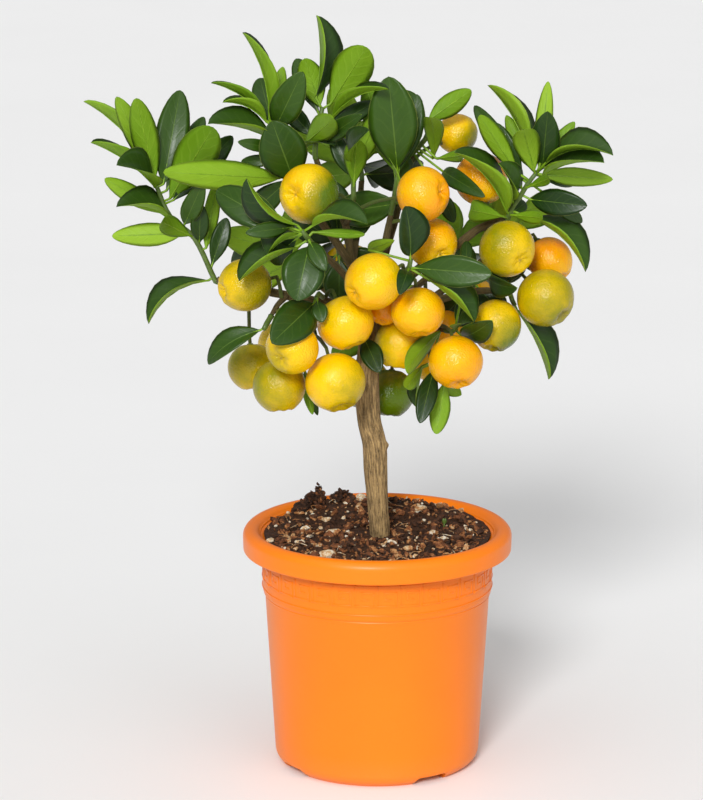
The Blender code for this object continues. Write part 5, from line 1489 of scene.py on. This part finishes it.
def sprout(tint):
    """A seedling: a thin stem and two small leaves."""
    bm = bmesh.new()
    x, y = (value * MM for value in SPROUT_FOOT)
    foot = Vector((x, y, ground(x, y) - 0.001))
    top = foot + Vector((0.0004, 0, 0.0036))
    add_tube(bm, smooth_path([foot, foot + Vector((0.0003, 0, 0.004)), top]), (0.0005, 0.0004), sides=6)
    for heading in (-1, 1):
        leaf_foot = top + Vector((heading * 0.0002, 0, 0.0003))
        leaf = Leaf(0, top, leaf_foot, top + Vector((heading * 0.0007, 0, 0.0042)), 2.2, "u", 0.1)
        add_blade(bm, leaf, 0.0003, 6, 2)
    return finish_piece(bm, "seedling", [tint, tint])


class CALAMONDIN_OT_soil(bpy.types.Operator):
    """Builds the potting soil and what lies on it"""

    bl_idname = "calamondin.soil"
    bl_label = "Build Soil"

    def execute(self, context):
        settings = context.scene.calamondin_soil
        earth = soil_earth(settings)
        finish_piece(soil_body(), "soil_bed", [earth], ["potting_soil"])
        finish_piece(soil_litter(settings), "soil_litter", [earth], smooth=False)
        sprout(green_wood(context.scene.calamondin_wood))
        return {"FINISHED"}


# ---------------------------------------------------------------- the wood

def fine_path(path, step):
    """The path as a smooth curve with a point about every step."""
    length = sum((b - a).length for a, b in zip(path, path[1:])) / (len(path) - 1)
    return smooth_path(path, max(1, round(length / step)))


# Knots and scars on the trunk: where, how far each stands out, and its reach
TRUNK_KNOTS = [
    (Vector((0.0062, -0.0025, 0.2050)), 0.0026, 0.0042),
    (Vector((0.0020, -0.0073, 0.1830)), 0.0009, 0.0024),
    (Vector((-0.0105, -0.0060, 0.2290)), 0.0011, 0.0060),
    (Vector((0.0010, 0.0078, 0.1960)), 0.0014, 0.0060),
]


BARK_STEP = 0.0011  # length of one row of the trunk's surface
LIMB_STEP = 0.0040
TRUNK_SIDES = 72
LIMB_SIDES = 14
STALK_SIDES = 10
CROWN_PAINTED_SHADE = (0.262, 0.300)  # heights between which the wood is painted darker into the crown, a painted shade for the crown's shadow
PALE_BARK = (0.52, 0.42, 0.27)
# The colour of the painted shade on the wood inside the crown
PAINTED_SHADE_BARK = (0.050, 0.034, 0.016)
YOUNG_BARK = (0.13, 0.13, 0.035)
CALYX_LOBES = 5


def bark_skin(depth):
    """Moves a trunk's surface into ridges that run up it, with a few knots."""
    def skin(spot, out):
        along = spot.z * 30
        turn = math.atan2(out.y, out.x) + spot.z * 3
        ridge = noise.noise(Vector((math.cos(turn) * 2.6, math.sin(turn) * 2.6, along)))
        fine = noise.noise(Vector((math.cos(turn) * 6.5, math.sin(turn) * 6.5, along * 2.2)))
        swell = noise.noise(Vector((out.x * 0.8, out.y * 0.8, spot.z * 30)))
        moved = spot + out * (depth * (1.0 * ridge + 0.8 * fine) + 0.00025 * swell)
        for knot, size, reach in TRUNK_KNOTS:
            near = max(0.0, 1 - (spot - knot).length / reach)
            moved = moved + out * (size * near * near)
        return moved
    return skin


def bark(settings):
    made, tree, shader = new_material("bark", roughness=0.85, specular=0.3)
    grain = use_group(tree, grain_group(), {"Streaks Around": 20.0, "Stretch": 14.0})
    fine = use_group(tree, grain_group(), {"Streaks Around": 42.0, "Stretch": 16.0})
    mottle = use_group(tree, mottling_group(), {
        "Vector": object_place(tree), "Patch Scale": 90.0, "Grain Scale": 700.0, "Grain Share": 0.4,
        "Dark": rgba(settings.dark), "Light": rgba(settings.light)})
    streaks = map_range(tree, grain["Streaks"], 0.42, 0.60)
    colour = blend(tree, streaks, rgba(settings.dark), rgba(settings.light))
    colour = blend(tree, 0.35, colour, mottle["Color"])
    pale = map_range(tree, fine["Fibres"], 0.55, 0.70)
    colour = blend(tree, times(tree, pale, 0.45), colour, rgba(PALE_BARK))
    # Painted shade: above these heights the wood darkens towards a shade colour, where the crown shades its
    # limbs
    crown = map_range(tree, component(tree, object_place(tree), 2), *CROWN_PAINTED_SHADE, end=0.62)
    colour = blend(tree, crown, colour, rgba(PAINTED_SHADE_BARK))
    green = attribute(tree, "green")
    young = blend(tree, mottle["Mask"], rgba(settings.green), rgba(YOUNG_BARK))
    colour = blend(tree, green, colour, young)
    height = plus(tree, grain["Streaks"], times(tree, fine["Fibres"], 0.6))
    rough = map_range(tree, green, start=0.88, end=0.5)
    set_look(tree, shader, colour, rough, height, distance=0.0011, strength=0.9)
    return made


@functools.cache
def green_wood(settings):
    """Young wood: twigs and fruit stalks."""
    made, tree, shader = new_material("green_wood", roughness=0.45)
    place = object_place(tree)
    mottle = use_group(tree, mottling_group(), {
        "Vector": place, "Patch Scale": 180.0, "Grain Scale": 1500.0, "Grain Share": 0.4,
        "Dark": rgba(Vector(settings.green) * 0.55), "Light": rgba(settings.green)})
    set_look(tree, shader, mottle["Color"], None, mottle["Mask"], distance=0.0002, strength=0.5)
    return made


def add_calyx(bm, fruit, dice):
    """The green star that holds a fruit on its stalk."""
    made = bmesh.ops.create_cone(bm, cap_ends=True, segments=2 * CALYX_LOBES, radius1=0.0030,
                                 radius2=0.0016, depth=0.0012)
    turn = fruit.axis.to_track_quat("Z", "Y").to_matrix().to_4x4()
    for vert in made["verts"]:
        if vert.co.z < 0:
            angle = math.atan2(vert.co.y, vert.co.x)
            star = 1.0 + 0.22 * math.cos(CALYX_LOBES * angle) + dice.uniform(-0.05, 0.05)
            vert.co.x *= star
            vert.co.y *= star
            vert.co.z -= 0.0004 * star
    seat = fruit.centre + fruit.axis * (fruit.half_height * STEM_DIP + 0.0002)
    bmesh.ops.transform(bm, matrix=Matrix.Translation(seat) @ turn, verts=made["verts"])
    return faces_of(made["verts"])


def wood_body(settings):
    """The trunk, its limbs, the fruit stalks and their calyxes."""
    grown = plant()
    bm = bmesh.new()
    trunk = grown["trunk"]
    path = fine_path(trunk, BARK_STEP)
    radii = spread_radii(trunk_radii(trunk), len(path))
    faces = add_tube(bm, path, radii, TRUNK_SIDES, skin=bark_skin(settings.ridge_depth))
    set_tone(bm, faces, 0.0, "green")
    for route, ends in grown["limbs"].values():
        path = fine_path(route, LIMB_STEP)
        radii = [radius * (1 + 0.10 * noise.noise(spot * 260))
                 for radius, spot in zip(spread_radii(ends, len(path)), path)]
        faces = add_tube(bm, path, radii, LIMB_SIDES)
        set_tone(bm, faces, 0.15, "green")
    dice = random.Random(3)
    for fruit, stalk in zip(grown["fruits"], grown["stalks"]):
        path = smooth_path(stalk[:-1], 4) + [stalk[-1]]
        faces = add_tube(bm, path, (STALK_RADIUS * 1.2, STALK_RADIUS), STALK_SIDES)
        faces += add_calyx(bm, fruit, dice)
        set_tone(bm, faces, 0.95, "green")
    return bm


class CALAMONDIN_OT_wood(bpy.types.Operator):
    """Builds the trunk, its limbs and the fruit stalks"""

    bl_idname = "calamondin.wood"
    bl_label = "Build Wood"

    def execute(self, context):
        settings = context.scene.calamondin_wood
        body = wood_body(settings)
        finish_piece(body, "bark_and_stalks", [bark(settings)], ["trunk_and_branches"])
        return {"FINISHED"}


# ---------------------------------------------------------------- the fruit

# How each fruit has ripened, in the order of FRUIT: ripeness at its middle (0 green, 0.5 yellow,
# 1 orange), the side that is greener (across, up), and how much greener that side is
RIPENESS = [
    (0.58, 0.90, -0.30, 0.42), (0.42, 0.90, -0.10, 0.10), (0.70, 0.50, 0.70, 0.10),
    (0.60, -0.20, 0.90, 0.05), (0.62, -0.80, -0.50, 0.16), (0.38, -0.60, 0.60, 0.10),
    (0.62, 0.80, -0.50, 0.30), (0.84, 0.50, -0.70, 0.12), (0.86, -0.30, 0.80, 0.10),
    (0.72, 0.30, -0.90, 0.12), (0.44, -0.90, 0.20, 0.14), (0.40, -0.90, 0.30, 0.12),
    (0.55, 0.80, -0.60, 0.12), (0.72, -0.60, 0.50, 0.06), (0.62, -0.90, 0.10, 0.16),
    (0.80, -0.70, 0.60, 0.08), (0.10, 0.30, -0.60, 0.08), (0.86, 0.50, -0.50, 0.10),
    (0.34, 0.70, -0.60, 0.08), (0.50, 0.60, -0.80, 0.26), (0.90, 0.00, -1.00, 0.05),
    (0.84, 0.40, -0.60, 0.10), (0.46, 0.70, -0.40, 0.20), (0.74, -0.50, -0.60, 0.12),
    (0.58, 0.40, -0.80, 0.18), (0.82, 0.60, 0.20, 0.10), (0.30, -0.60, -0.70, 0.14),
]
RIND_SCARS = {19: (0.62, -0.55, 0.30), 20: (0.35, -0.80, 0.22)}  # fruit number: across, up, reach in radii


PUCKER_FOLDS = 5  # folds round the blossom end and the stem
PUCKER_REACH = 0.27  # in radii, like the other reaches
NUB_REACH = 0.06
STEM_REACH = 0.14
SCAR_COLOUR = (0.20, 0.15, 0.055)
PORE_TINT = (0.72, 0.66, 0.40)


def hump(place, middle, width):
    """1 at the middle, and falling away smoothly on both sides."""
    return math.exp(-(((place - middle) / width) ** 2))


def fruit_globe(index, fruit, row):
    """A fruit: slightly lobed, with a puckered blossom end, a stem dimple and its ripeness."""
    ripeness, across, up, change = row
    bm = bmesh.new()
    bmesh.ops.create_uvsphere(bm, u_segments=48, v_segments=30, radius=1.0)
    ripe = bm.verts.layers.float.new("ripeness")
    scar = bm.verts.layers.float.new("scar")
    turn = fruit.axis.to_track_quat("Z", "Y").to_matrix()
    green_side = Vector((across, -0.35, up)).normalized()
    scar_spot = None
    if index + 1 in RIND_SCARS:
        x, z, reach = RIND_SCARS[index + 1]
        scar_spot = Vector((x, -math.sqrt(max(0.0, 1 - x * x - z * z)), z))
    seed = Vector((index * 7.1, index * 3.3, 1.7))
    for vert in bm.verts:
        ball = vert.co.copy()
        flat = math.hypot(ball.x, ball.y)
        angle = math.atan2(ball.y, ball.x)
        dip = STEM_DIP + (1 - STEM_DIP) * min(1.0, flat / 0.4)
        size = 1 + 0.012 * noise.noise(ball * 1.6 + seed) - 0.006
        if ball.z < 0:
            deep = 0.75 + 0.5 * (0.5 + 0.5 * math.sin(index * 2.4))
            pucker = hump(flat, 0, PUCKER_REACH)
            fold = 0.5 + 0.5 * math.cos(PUCKER_FOLDS * angle + index)
            size -= deep * pucker * (0.150 + 0.080 * fold) - 0.060 * hump(flat, 0, NUB_REACH)
            size += 0.028 * deep * hump(flat, 0.42, 0.13) * (0.4 + fold)
            size -= 0.010 * hump(flat, 0.40, 0.20) * math.cos(7 * angle + index)
        else:
            fold = math.cos(PUCKER_FOLDS * angle + index)
            size -= 0.050 * hump(flat, 0, STEM_REACH) * (1 + 0.4 * fold)
        world = turn @ ball
        blush = noise.noise(world * 1.3 + seed) * 0.10 + noise.noise(world * 3.6 + seed) * 0.06
        green = max(0.0, world.dot(green_side) + 0.15) ** 1.3
        vert[ripe] = min(1.0, max(0.0, ripeness + blush - change * 1.5 * green))
        dark = 0.6 * hump(flat, 0, 0.05) if ball.z < 0 else 0.0
        if scar_spot:
            rough_patch = max(0.0, 1 - (world - scar_spot).length / reach)
            dark = max(dark, 0.55 * min(1.0, 1.6 * rough_patch) * (0.5 + noise.noise(world * 9 + seed)))
        vert[scar] = max(0.0, dark)
        vert.co = Vector((ball.x * fruit.half_width, ball.y * fruit.half_width,
                          ball.z * fruit.half_height * dip)) * size
    bmesh.ops.transform(bm, matrix=Matrix.Translation(fruit.centre) @ turn.to_4x4(), verts=bm.verts)
    return bm


def rind(settings):
    made, tree, shader = new_material("citrus_rind", roughness=0.22, specular=0.38)
    place = object_place(tree)
    patches = minus(tree, noise_at(tree, place, 160.0, 4.0, 0.6), 0.5)
    speckle = minus(tree, noise_at(tree, place, 900.0, 2.0, 0.6), 0.5)
    ripeness = plus(tree, attribute(tree, "ripeness"), times(tree, patches, 0.16))
    ripeness = plus(tree, ripeness, times(tree, speckle, 0.10))
    yellow_green = [a * 0.45 + b * 0.55 for a, b in zip(settings.unripe, settings.turning)]
    amber = [a * 0.5 + b * 0.5 for a, b in zip(settings.turning, settings.ripe)]
    colour = ramp(tree, ripeness, [(0.05, settings.unripe), (0.36, yellow_green), (0.54, settings.turning),
                                   (0.74, amber), (0.95, settings.ripe)])
    cells = add_node(tree, "ShaderNodeTexVoronoi", {"Vector": place, "Scale": 820.0, "Randomness": 0.9})
    pores = cells.outputs[0]
    pit = map_range(tree, pores, 0.10, 0.42)
    tinted = blend(tree, 1.0, colour, rgba(PORE_TINT), "MULTIPLY")
    colour = blend(tree, times(tree, minus(tree, 1.0, pit), 0.05), colour, tinted)
    colour = blend(tree, attribute(tree, "scar"), colour, rgba(SCAR_COLOUR))
    rough = map_range(tree, patches, -0.2, 0.2, 0.13, 0.22)
    pebbles = noise_at(tree, place, 760.0, 2.0, 0.6)
    height = plus(tree, times(tree, pit, 0.15), pebbles)
    set_look(tree, shader, colour, rough, height, distance=1.5 * settings.pore_depth, strength=1.0)
    return made


class CALAMONDIN_OT_fruit(bpy.types.Operator):
    """Builds the fruit"""

    bl_idname = "calamondin.fruit"
    bl_label = "Build Fruit"

    def execute(self, context):
        skin = rind(context.scene.calamondin_fruit)
        for index, (fruit, row) in enumerate(zip(plant()["fruits"], RIPENESS)):
            globe = fruit_globe(index, fruit, row)
            finish_piece(globe, f"citrus_{index + 1:02d}", [skin], [fruit.name])
        return {"FINISHED"}


# ---------------------------------------------------------------- the leaves

STEM_RADII = (0.00085, 0.0008, 0.0008, 0.0006, 0.0005, 0.0004, 0.00033, 0.00026, 0.00012)
RIB_STATIONS = (0.04, 0.2, 0.4, 0.6, 0.8, 0.94)  # shares of the blade's length
MARGIN_COLOUR = (0.42, 0.50, 0.10)
UPPER_SIDE, UNDERSIDE, TWIG, LEAF_STALK = range(4)  # a shoot's materials, in order


def add_blade(bm, leaf, thickness, rows=12, columns=6):
    """A leaf's blade as one closed skin: upper side, lower side and a thin margin between them."""
    places = rolled_grid(bm, rows, 2 * columns)
    uv_map = bm.loops.layers.uv.active
    for vert, row, place in places:
        share = 0.5 - 0.5 * math.cos(math.pi * row / rows)
        top = place <= columns
        v = -1 + 2 * place / columns if top else 3 - 2 * place / columns
        ripple = leaf.wave * math.sin(share * leaf.ripples + leaf.phase + (1.3 if v > 0 else 0.0)) * v * v
        u = BLADE_START + (1 - BLADE_START) * share
        spot = leaf.point(u, v) + leaf.up * (ripple * leaf.half)
        swell = thickness / 2 * (1 - abs(v) ** 6) * (1 + 0.5 * hump(v, 0, 0.12))
        vert.co = spot + leaf.up * (swell if top else -swell)
    sides = ([], [])
    for face in faces_of([vert for vert, _, _ in places]):
        middle = sum(loop[uv_map].uv.y for loop in face.loops) / len(face.loops)
        face.material_index = UPPER_SIDE if middle < 0.5 else UNDERSIDE
        sides[face.material_index].append(face)
        for loop in face.loops:
            loop[uv_map].uv.y = 1 - abs(1 - 2 * loop[uv_map].uv.y)
    # The two sides are split along the same diagonals, so that neither shows through the other.
    for faces, method in zip(sides, ("FIXED", "ALTERNATE")):
        bmesh.ops.triangulate(bm, faces=faces, quad_method=method)
    faces = close_seam(bm, places)
    bmesh.ops.recalc_face_normals(bm, faces=faces)
    set_tone(bm, faces, leaf.tone)


def add_leaf(bm, leaf, thickness):
    """A blade, and a petiole that runs on under it as its midrib."""
    add_blade(bm, leaf, thickness)
    rib = [leaf.point(BLADE_START + (1 - BLADE_START) * share, 0) - leaf.up * (0.35 * thickness)
           for share in RIB_STATIONS]
    stem = [leaf.root, leaf.root.lerp(leaf.foot, 0.5), leaf.foot]
    faces = add_tube(bm, stem + rib, STEM_RADII, 6, LEAF_STALK)
    set_tone(bm, faces, leaf.tone)


def character(leaf, dice):
    """Gives a leaf its own shade, and the waves of its margin."""
    leaf.grown = True
    leaf.fullest = dice.uniform(0.92, 1.15)
    leaf.tone = min(1.0, max(0.0, dice.gauss(0.45, 0.22)))
    leaf.wave = dice.uniform(0.01, 0.05)
    leaf.ripples = dice.uniform(4.0, 9.0)
    leaf.phase = dice.uniform(0.0, FULL_TURN)


def leaf_side(name, dark, light, rib, rib_share, vein_share, margin_share, roughness, coat, relief):
    """One side of the leaves: its colours, its veins, which stand out by the relief, and its gloss."""
    made, tree, shader = new_material(name, roughness=roughness, coat=coat, coat_roughness=0.15,
                                      specular=0.30)
    veins = use_group(tree, leaf_veins_group(), {"Vein Count": 9.0, "Rib Width": 0.035})
    place = object_place(tree)
    patches = minus(tree, noise_at(tree, place, 70.0, 3.0), 0.5)
    tone = plus(tree, attribute(tree, "tone"), times(tree, patches, 0.5))
    colour = blend(tree, map_range(tree, tone, 0.1, 0.95), rgba(dark), rgba(light))
    colour = blend(tree, times(tree, veins["Veins"], vein_share), colour, rgba(rib))
    colour = blend(tree, times(tree, veins["Midrib"], rib_share), colour, rgba(rib))
    colour = blend(tree, times(tree, veins["Margin"], margin_share), colour, rgba(MARGIN_COLOUR))
    lines = plus(tree, veins["Midrib"], times(tree, veins["Veins"], 0.5))
    height = times(tree, lines, relief)
    height = plus(tree, height, times(tree, noise_at(tree, place, 500.0, 3.0), 0.35))
    rough = map_range(tree, noise_at(tree, place, 120.0, 3.0), start=roughness - 0.06, end=roughness + 0.08)
    set_look(tree, shader, colour, rough, height, distance=0.0005, strength=0.55)
    return made


def leaf_stalk(settings):
    """Petioles, and the midribs that run on from them."""
    made, tree, shader = new_material("leaf_stalk", roughness=0.45)
    mottle = use_group(tree, mottling_group(), {
        "Vector": object_place(tree), "Patch Scale": 200.0, "Grain Scale": 1500.0, "Grain Share": 0.4,
        "Dark": rgba(settings.under), "Light": rgba(settings.under_pale)})
    set_look(tree, shader, mottle["Color"], None, mottle["Mask"], distance=0.0001, strength=0.5)
    return made


class CALAMONDIN_OT_leaves(bpy.types.Operator):
    """Builds the leafy shoots"""

    bl_idname = "calamondin.leaves"
    bl_label = "Build Leaves"

    def execute(self, context):
        settings = context.scene.calamondin_leaves
        upper = leaf_side(
            "leaf_upper_side", settings.upper, settings.upper_young, rib=(0.13, 0.22, 0.03), rib_share=0.6,
            vein_share=0.08, margin_share=0.45, roughness=0.38, coat=0.05, relief=-0.35)
        under = leaf_side(
            "leaf_underside", settings.under, settings.under_pale, rib=(0.36, 0.54, 0.05), rib_share=0.5,
            vein_share=0.14, margin_share=0.40, roughness=0.55, coat=0.0, relief=0.7)
        stem = green_wood(context.scene.calamondin_wood)
        stalk = leaf_stalk(settings)
        dice = random.Random(11)
        for name, (twig, leaves) in plant()["shoots"].items():
            bm = bmesh.new()
            for leaf in leaves:
                character(leaf, dice)
                add_leaf(bm, leaf, settings.thickness)
            path = fine_path(twig, LIMB_STEP)
            knobs = [TWIG_RADIUS * (1.3 - 0.3 * i / len(path)) * (1 + 0.15 * noise.noise(spot * 400))
                     for i, spot in enumerate(path)]
            add_tube(bm, path, knobs, 10, TWIG)
            finish_piece(bm, name + "_foliage", [upper, under, stem, stalk], [name])
        return {"FINISHED"}


# ---------------------------------------------------------------- the stage

def add_lamp(name, heading, spread, strength):
    """A far, broad lamp that shines along a heading; spread is how wide it looks, in degrees."""
    light = bpy.data.lights.new(name, "SUN")
    light.angle = math.radians(spread)
    light.energy = strength
    lamp = bpy.data.objects.new(name, light)
    bpy.context.scene.collection.objects.link(lamp)
    lamp.rotation_euler = Vector(heading).to_track_quat("-Z", "Y").to_euler()


class CALAMONDIN_OT_stage(bpy.types.Operator):
    """Sets up the floor, the lamps, the room light and the camera"""

    bl_idname = "calamondin.stage"
    bl_label = "Build Stage"

    def execute(self, context):
        settings = context.scene.calamondin_stage
        made, tree, shader = new_material("studio_floor", roughness=0.8)
        grain = use_group(tree, mottling_group(), {
            "Vector": object_place(tree), "Patch Scale": 3.0, "Grain Scale": 300.0, "Grain Share": 0.2,
            "Dark": rgba(Vector(settings.floor) * 0.985), "Light": rgba(settings.floor)})
        set_look(tree, shader, grain["Color"])
        bm = bmesh.new()
        bmesh.ops.create_grid(bm, x_segments=1, y_segments=1, size=9.0)
        mesh = bpy.data.meshes.new("studio_floor")
        bm.to_mesh(mesh)
        bm.free()
        mesh.materials.append(made)
        floor = bpy.data.objects.new("studio_floor", mesh)
        context.scene.collection.objects.link(floor)
        add_lamp("key_lamp", (0.18, 1.0, -0.58), 15, settings.key_strength)
        add_lamp("top_lamp", (0.1, 0.35, -1.0), 60, settings.top_strength)
        add_lamp("fill_lamp", (-0.9, 1.0, -0.5), 50, settings.fill_strength)
        world = bpy.data.worlds.new("studio_room")
        world.use_nodes = True
        backdrop = world.node_tree.nodes["Background"]
        backdrop.inputs["Color"].default_value = (1.0, 1.0, 1.0, 1.0)
        backdrop.inputs["Strength"].default_value = settings.sky
        context.scene.world = world
        context.scene.view_settings.view_transform = "Standard"
        camera = bpy.data.cameras.new("camera")
        camera.sensor_width = 36.0
        camera.lens = LAYOUT_LENS
        eye = bpy.data.objects.new("camera", camera)
        eye.location = LAYOUT_EYE
        eye.rotation_euler = (math.radians(90 - LAYOUT_PITCH), 0, 0)
        context.scene.collection.objects.link(eye)
        context.scene.camera = eye
        return {"FINISHED"}


# ---------------------------------------------------------------- panel and registration

SETTINGS = {
    "calamondin_pot": PotSettings, "calamondin_soil": SoilSettings, "calamondin_wood": WoodSettings,
    "calamondin_fruit": FruitSettings, "calamondin_leaves": LeafSettings, "calamondin_stage": StageSettings,
}
OPERATORS = {
    "calamondin_stage": CALAMONDIN_OT_stage, "calamondin_pot": CALAMONDIN_OT_pot,
    "calamondin_soil": CALAMONDIN_OT_soil, "calamondin_wood": CALAMONDIN_OT_wood,
    "calamondin_fruit": CALAMONDIN_OT_fruit, "calamondin_leaves": CALAMONDIN_OT_leaves,
}


class CALAMONDIN_PT_panel(bpy.types.Panel):
    """Lists each group's settings and the button that builds it"""

    bl_idname = "CALAMONDIN_PT_panel"
    bl_label = "Potted Calamondin"
    bl_space_type = "VIEW_3D"
    bl_region_type = "UI"
    bl_category = "Calamondin"

    def draw(self, context):
        for group, operator in OPERATORS.items():
            box = self.layout.box()
            settings = getattr(context.scene, group)
            for name in SETTINGS[group].__annotations__:
                box.prop(settings, name)
            box.operator(operator.bl_idname)


CLASSES = [*SETTINGS.values(), *OPERATORS.values(), CALAMONDIN_PT_panel]


def register():
    for made in CLASSES:
        bpy.utils.register_class(made)
    for name, group in SETTINGS.items():
        setattr(bpy.types.Scene, name, PointerProperty(type=group))


def unregister():
    for name in SETTINGS:
        delattr(bpy.types.Scene, name)
    for made in reversed(CLASSES):
        bpy.utils.unregister_class(made)


def main():
    register()
    bpy.ops.calamondin.stage()
    bpy.ops.calamondin.pot()
    bpy.ops.calamondin.soil()
    bpy.ops.calamondin.wood()
    bpy.ops.calamondin.fruit()
    bpy.ops.calamondin.leaves()


if __name__ == "__main__":
    main()
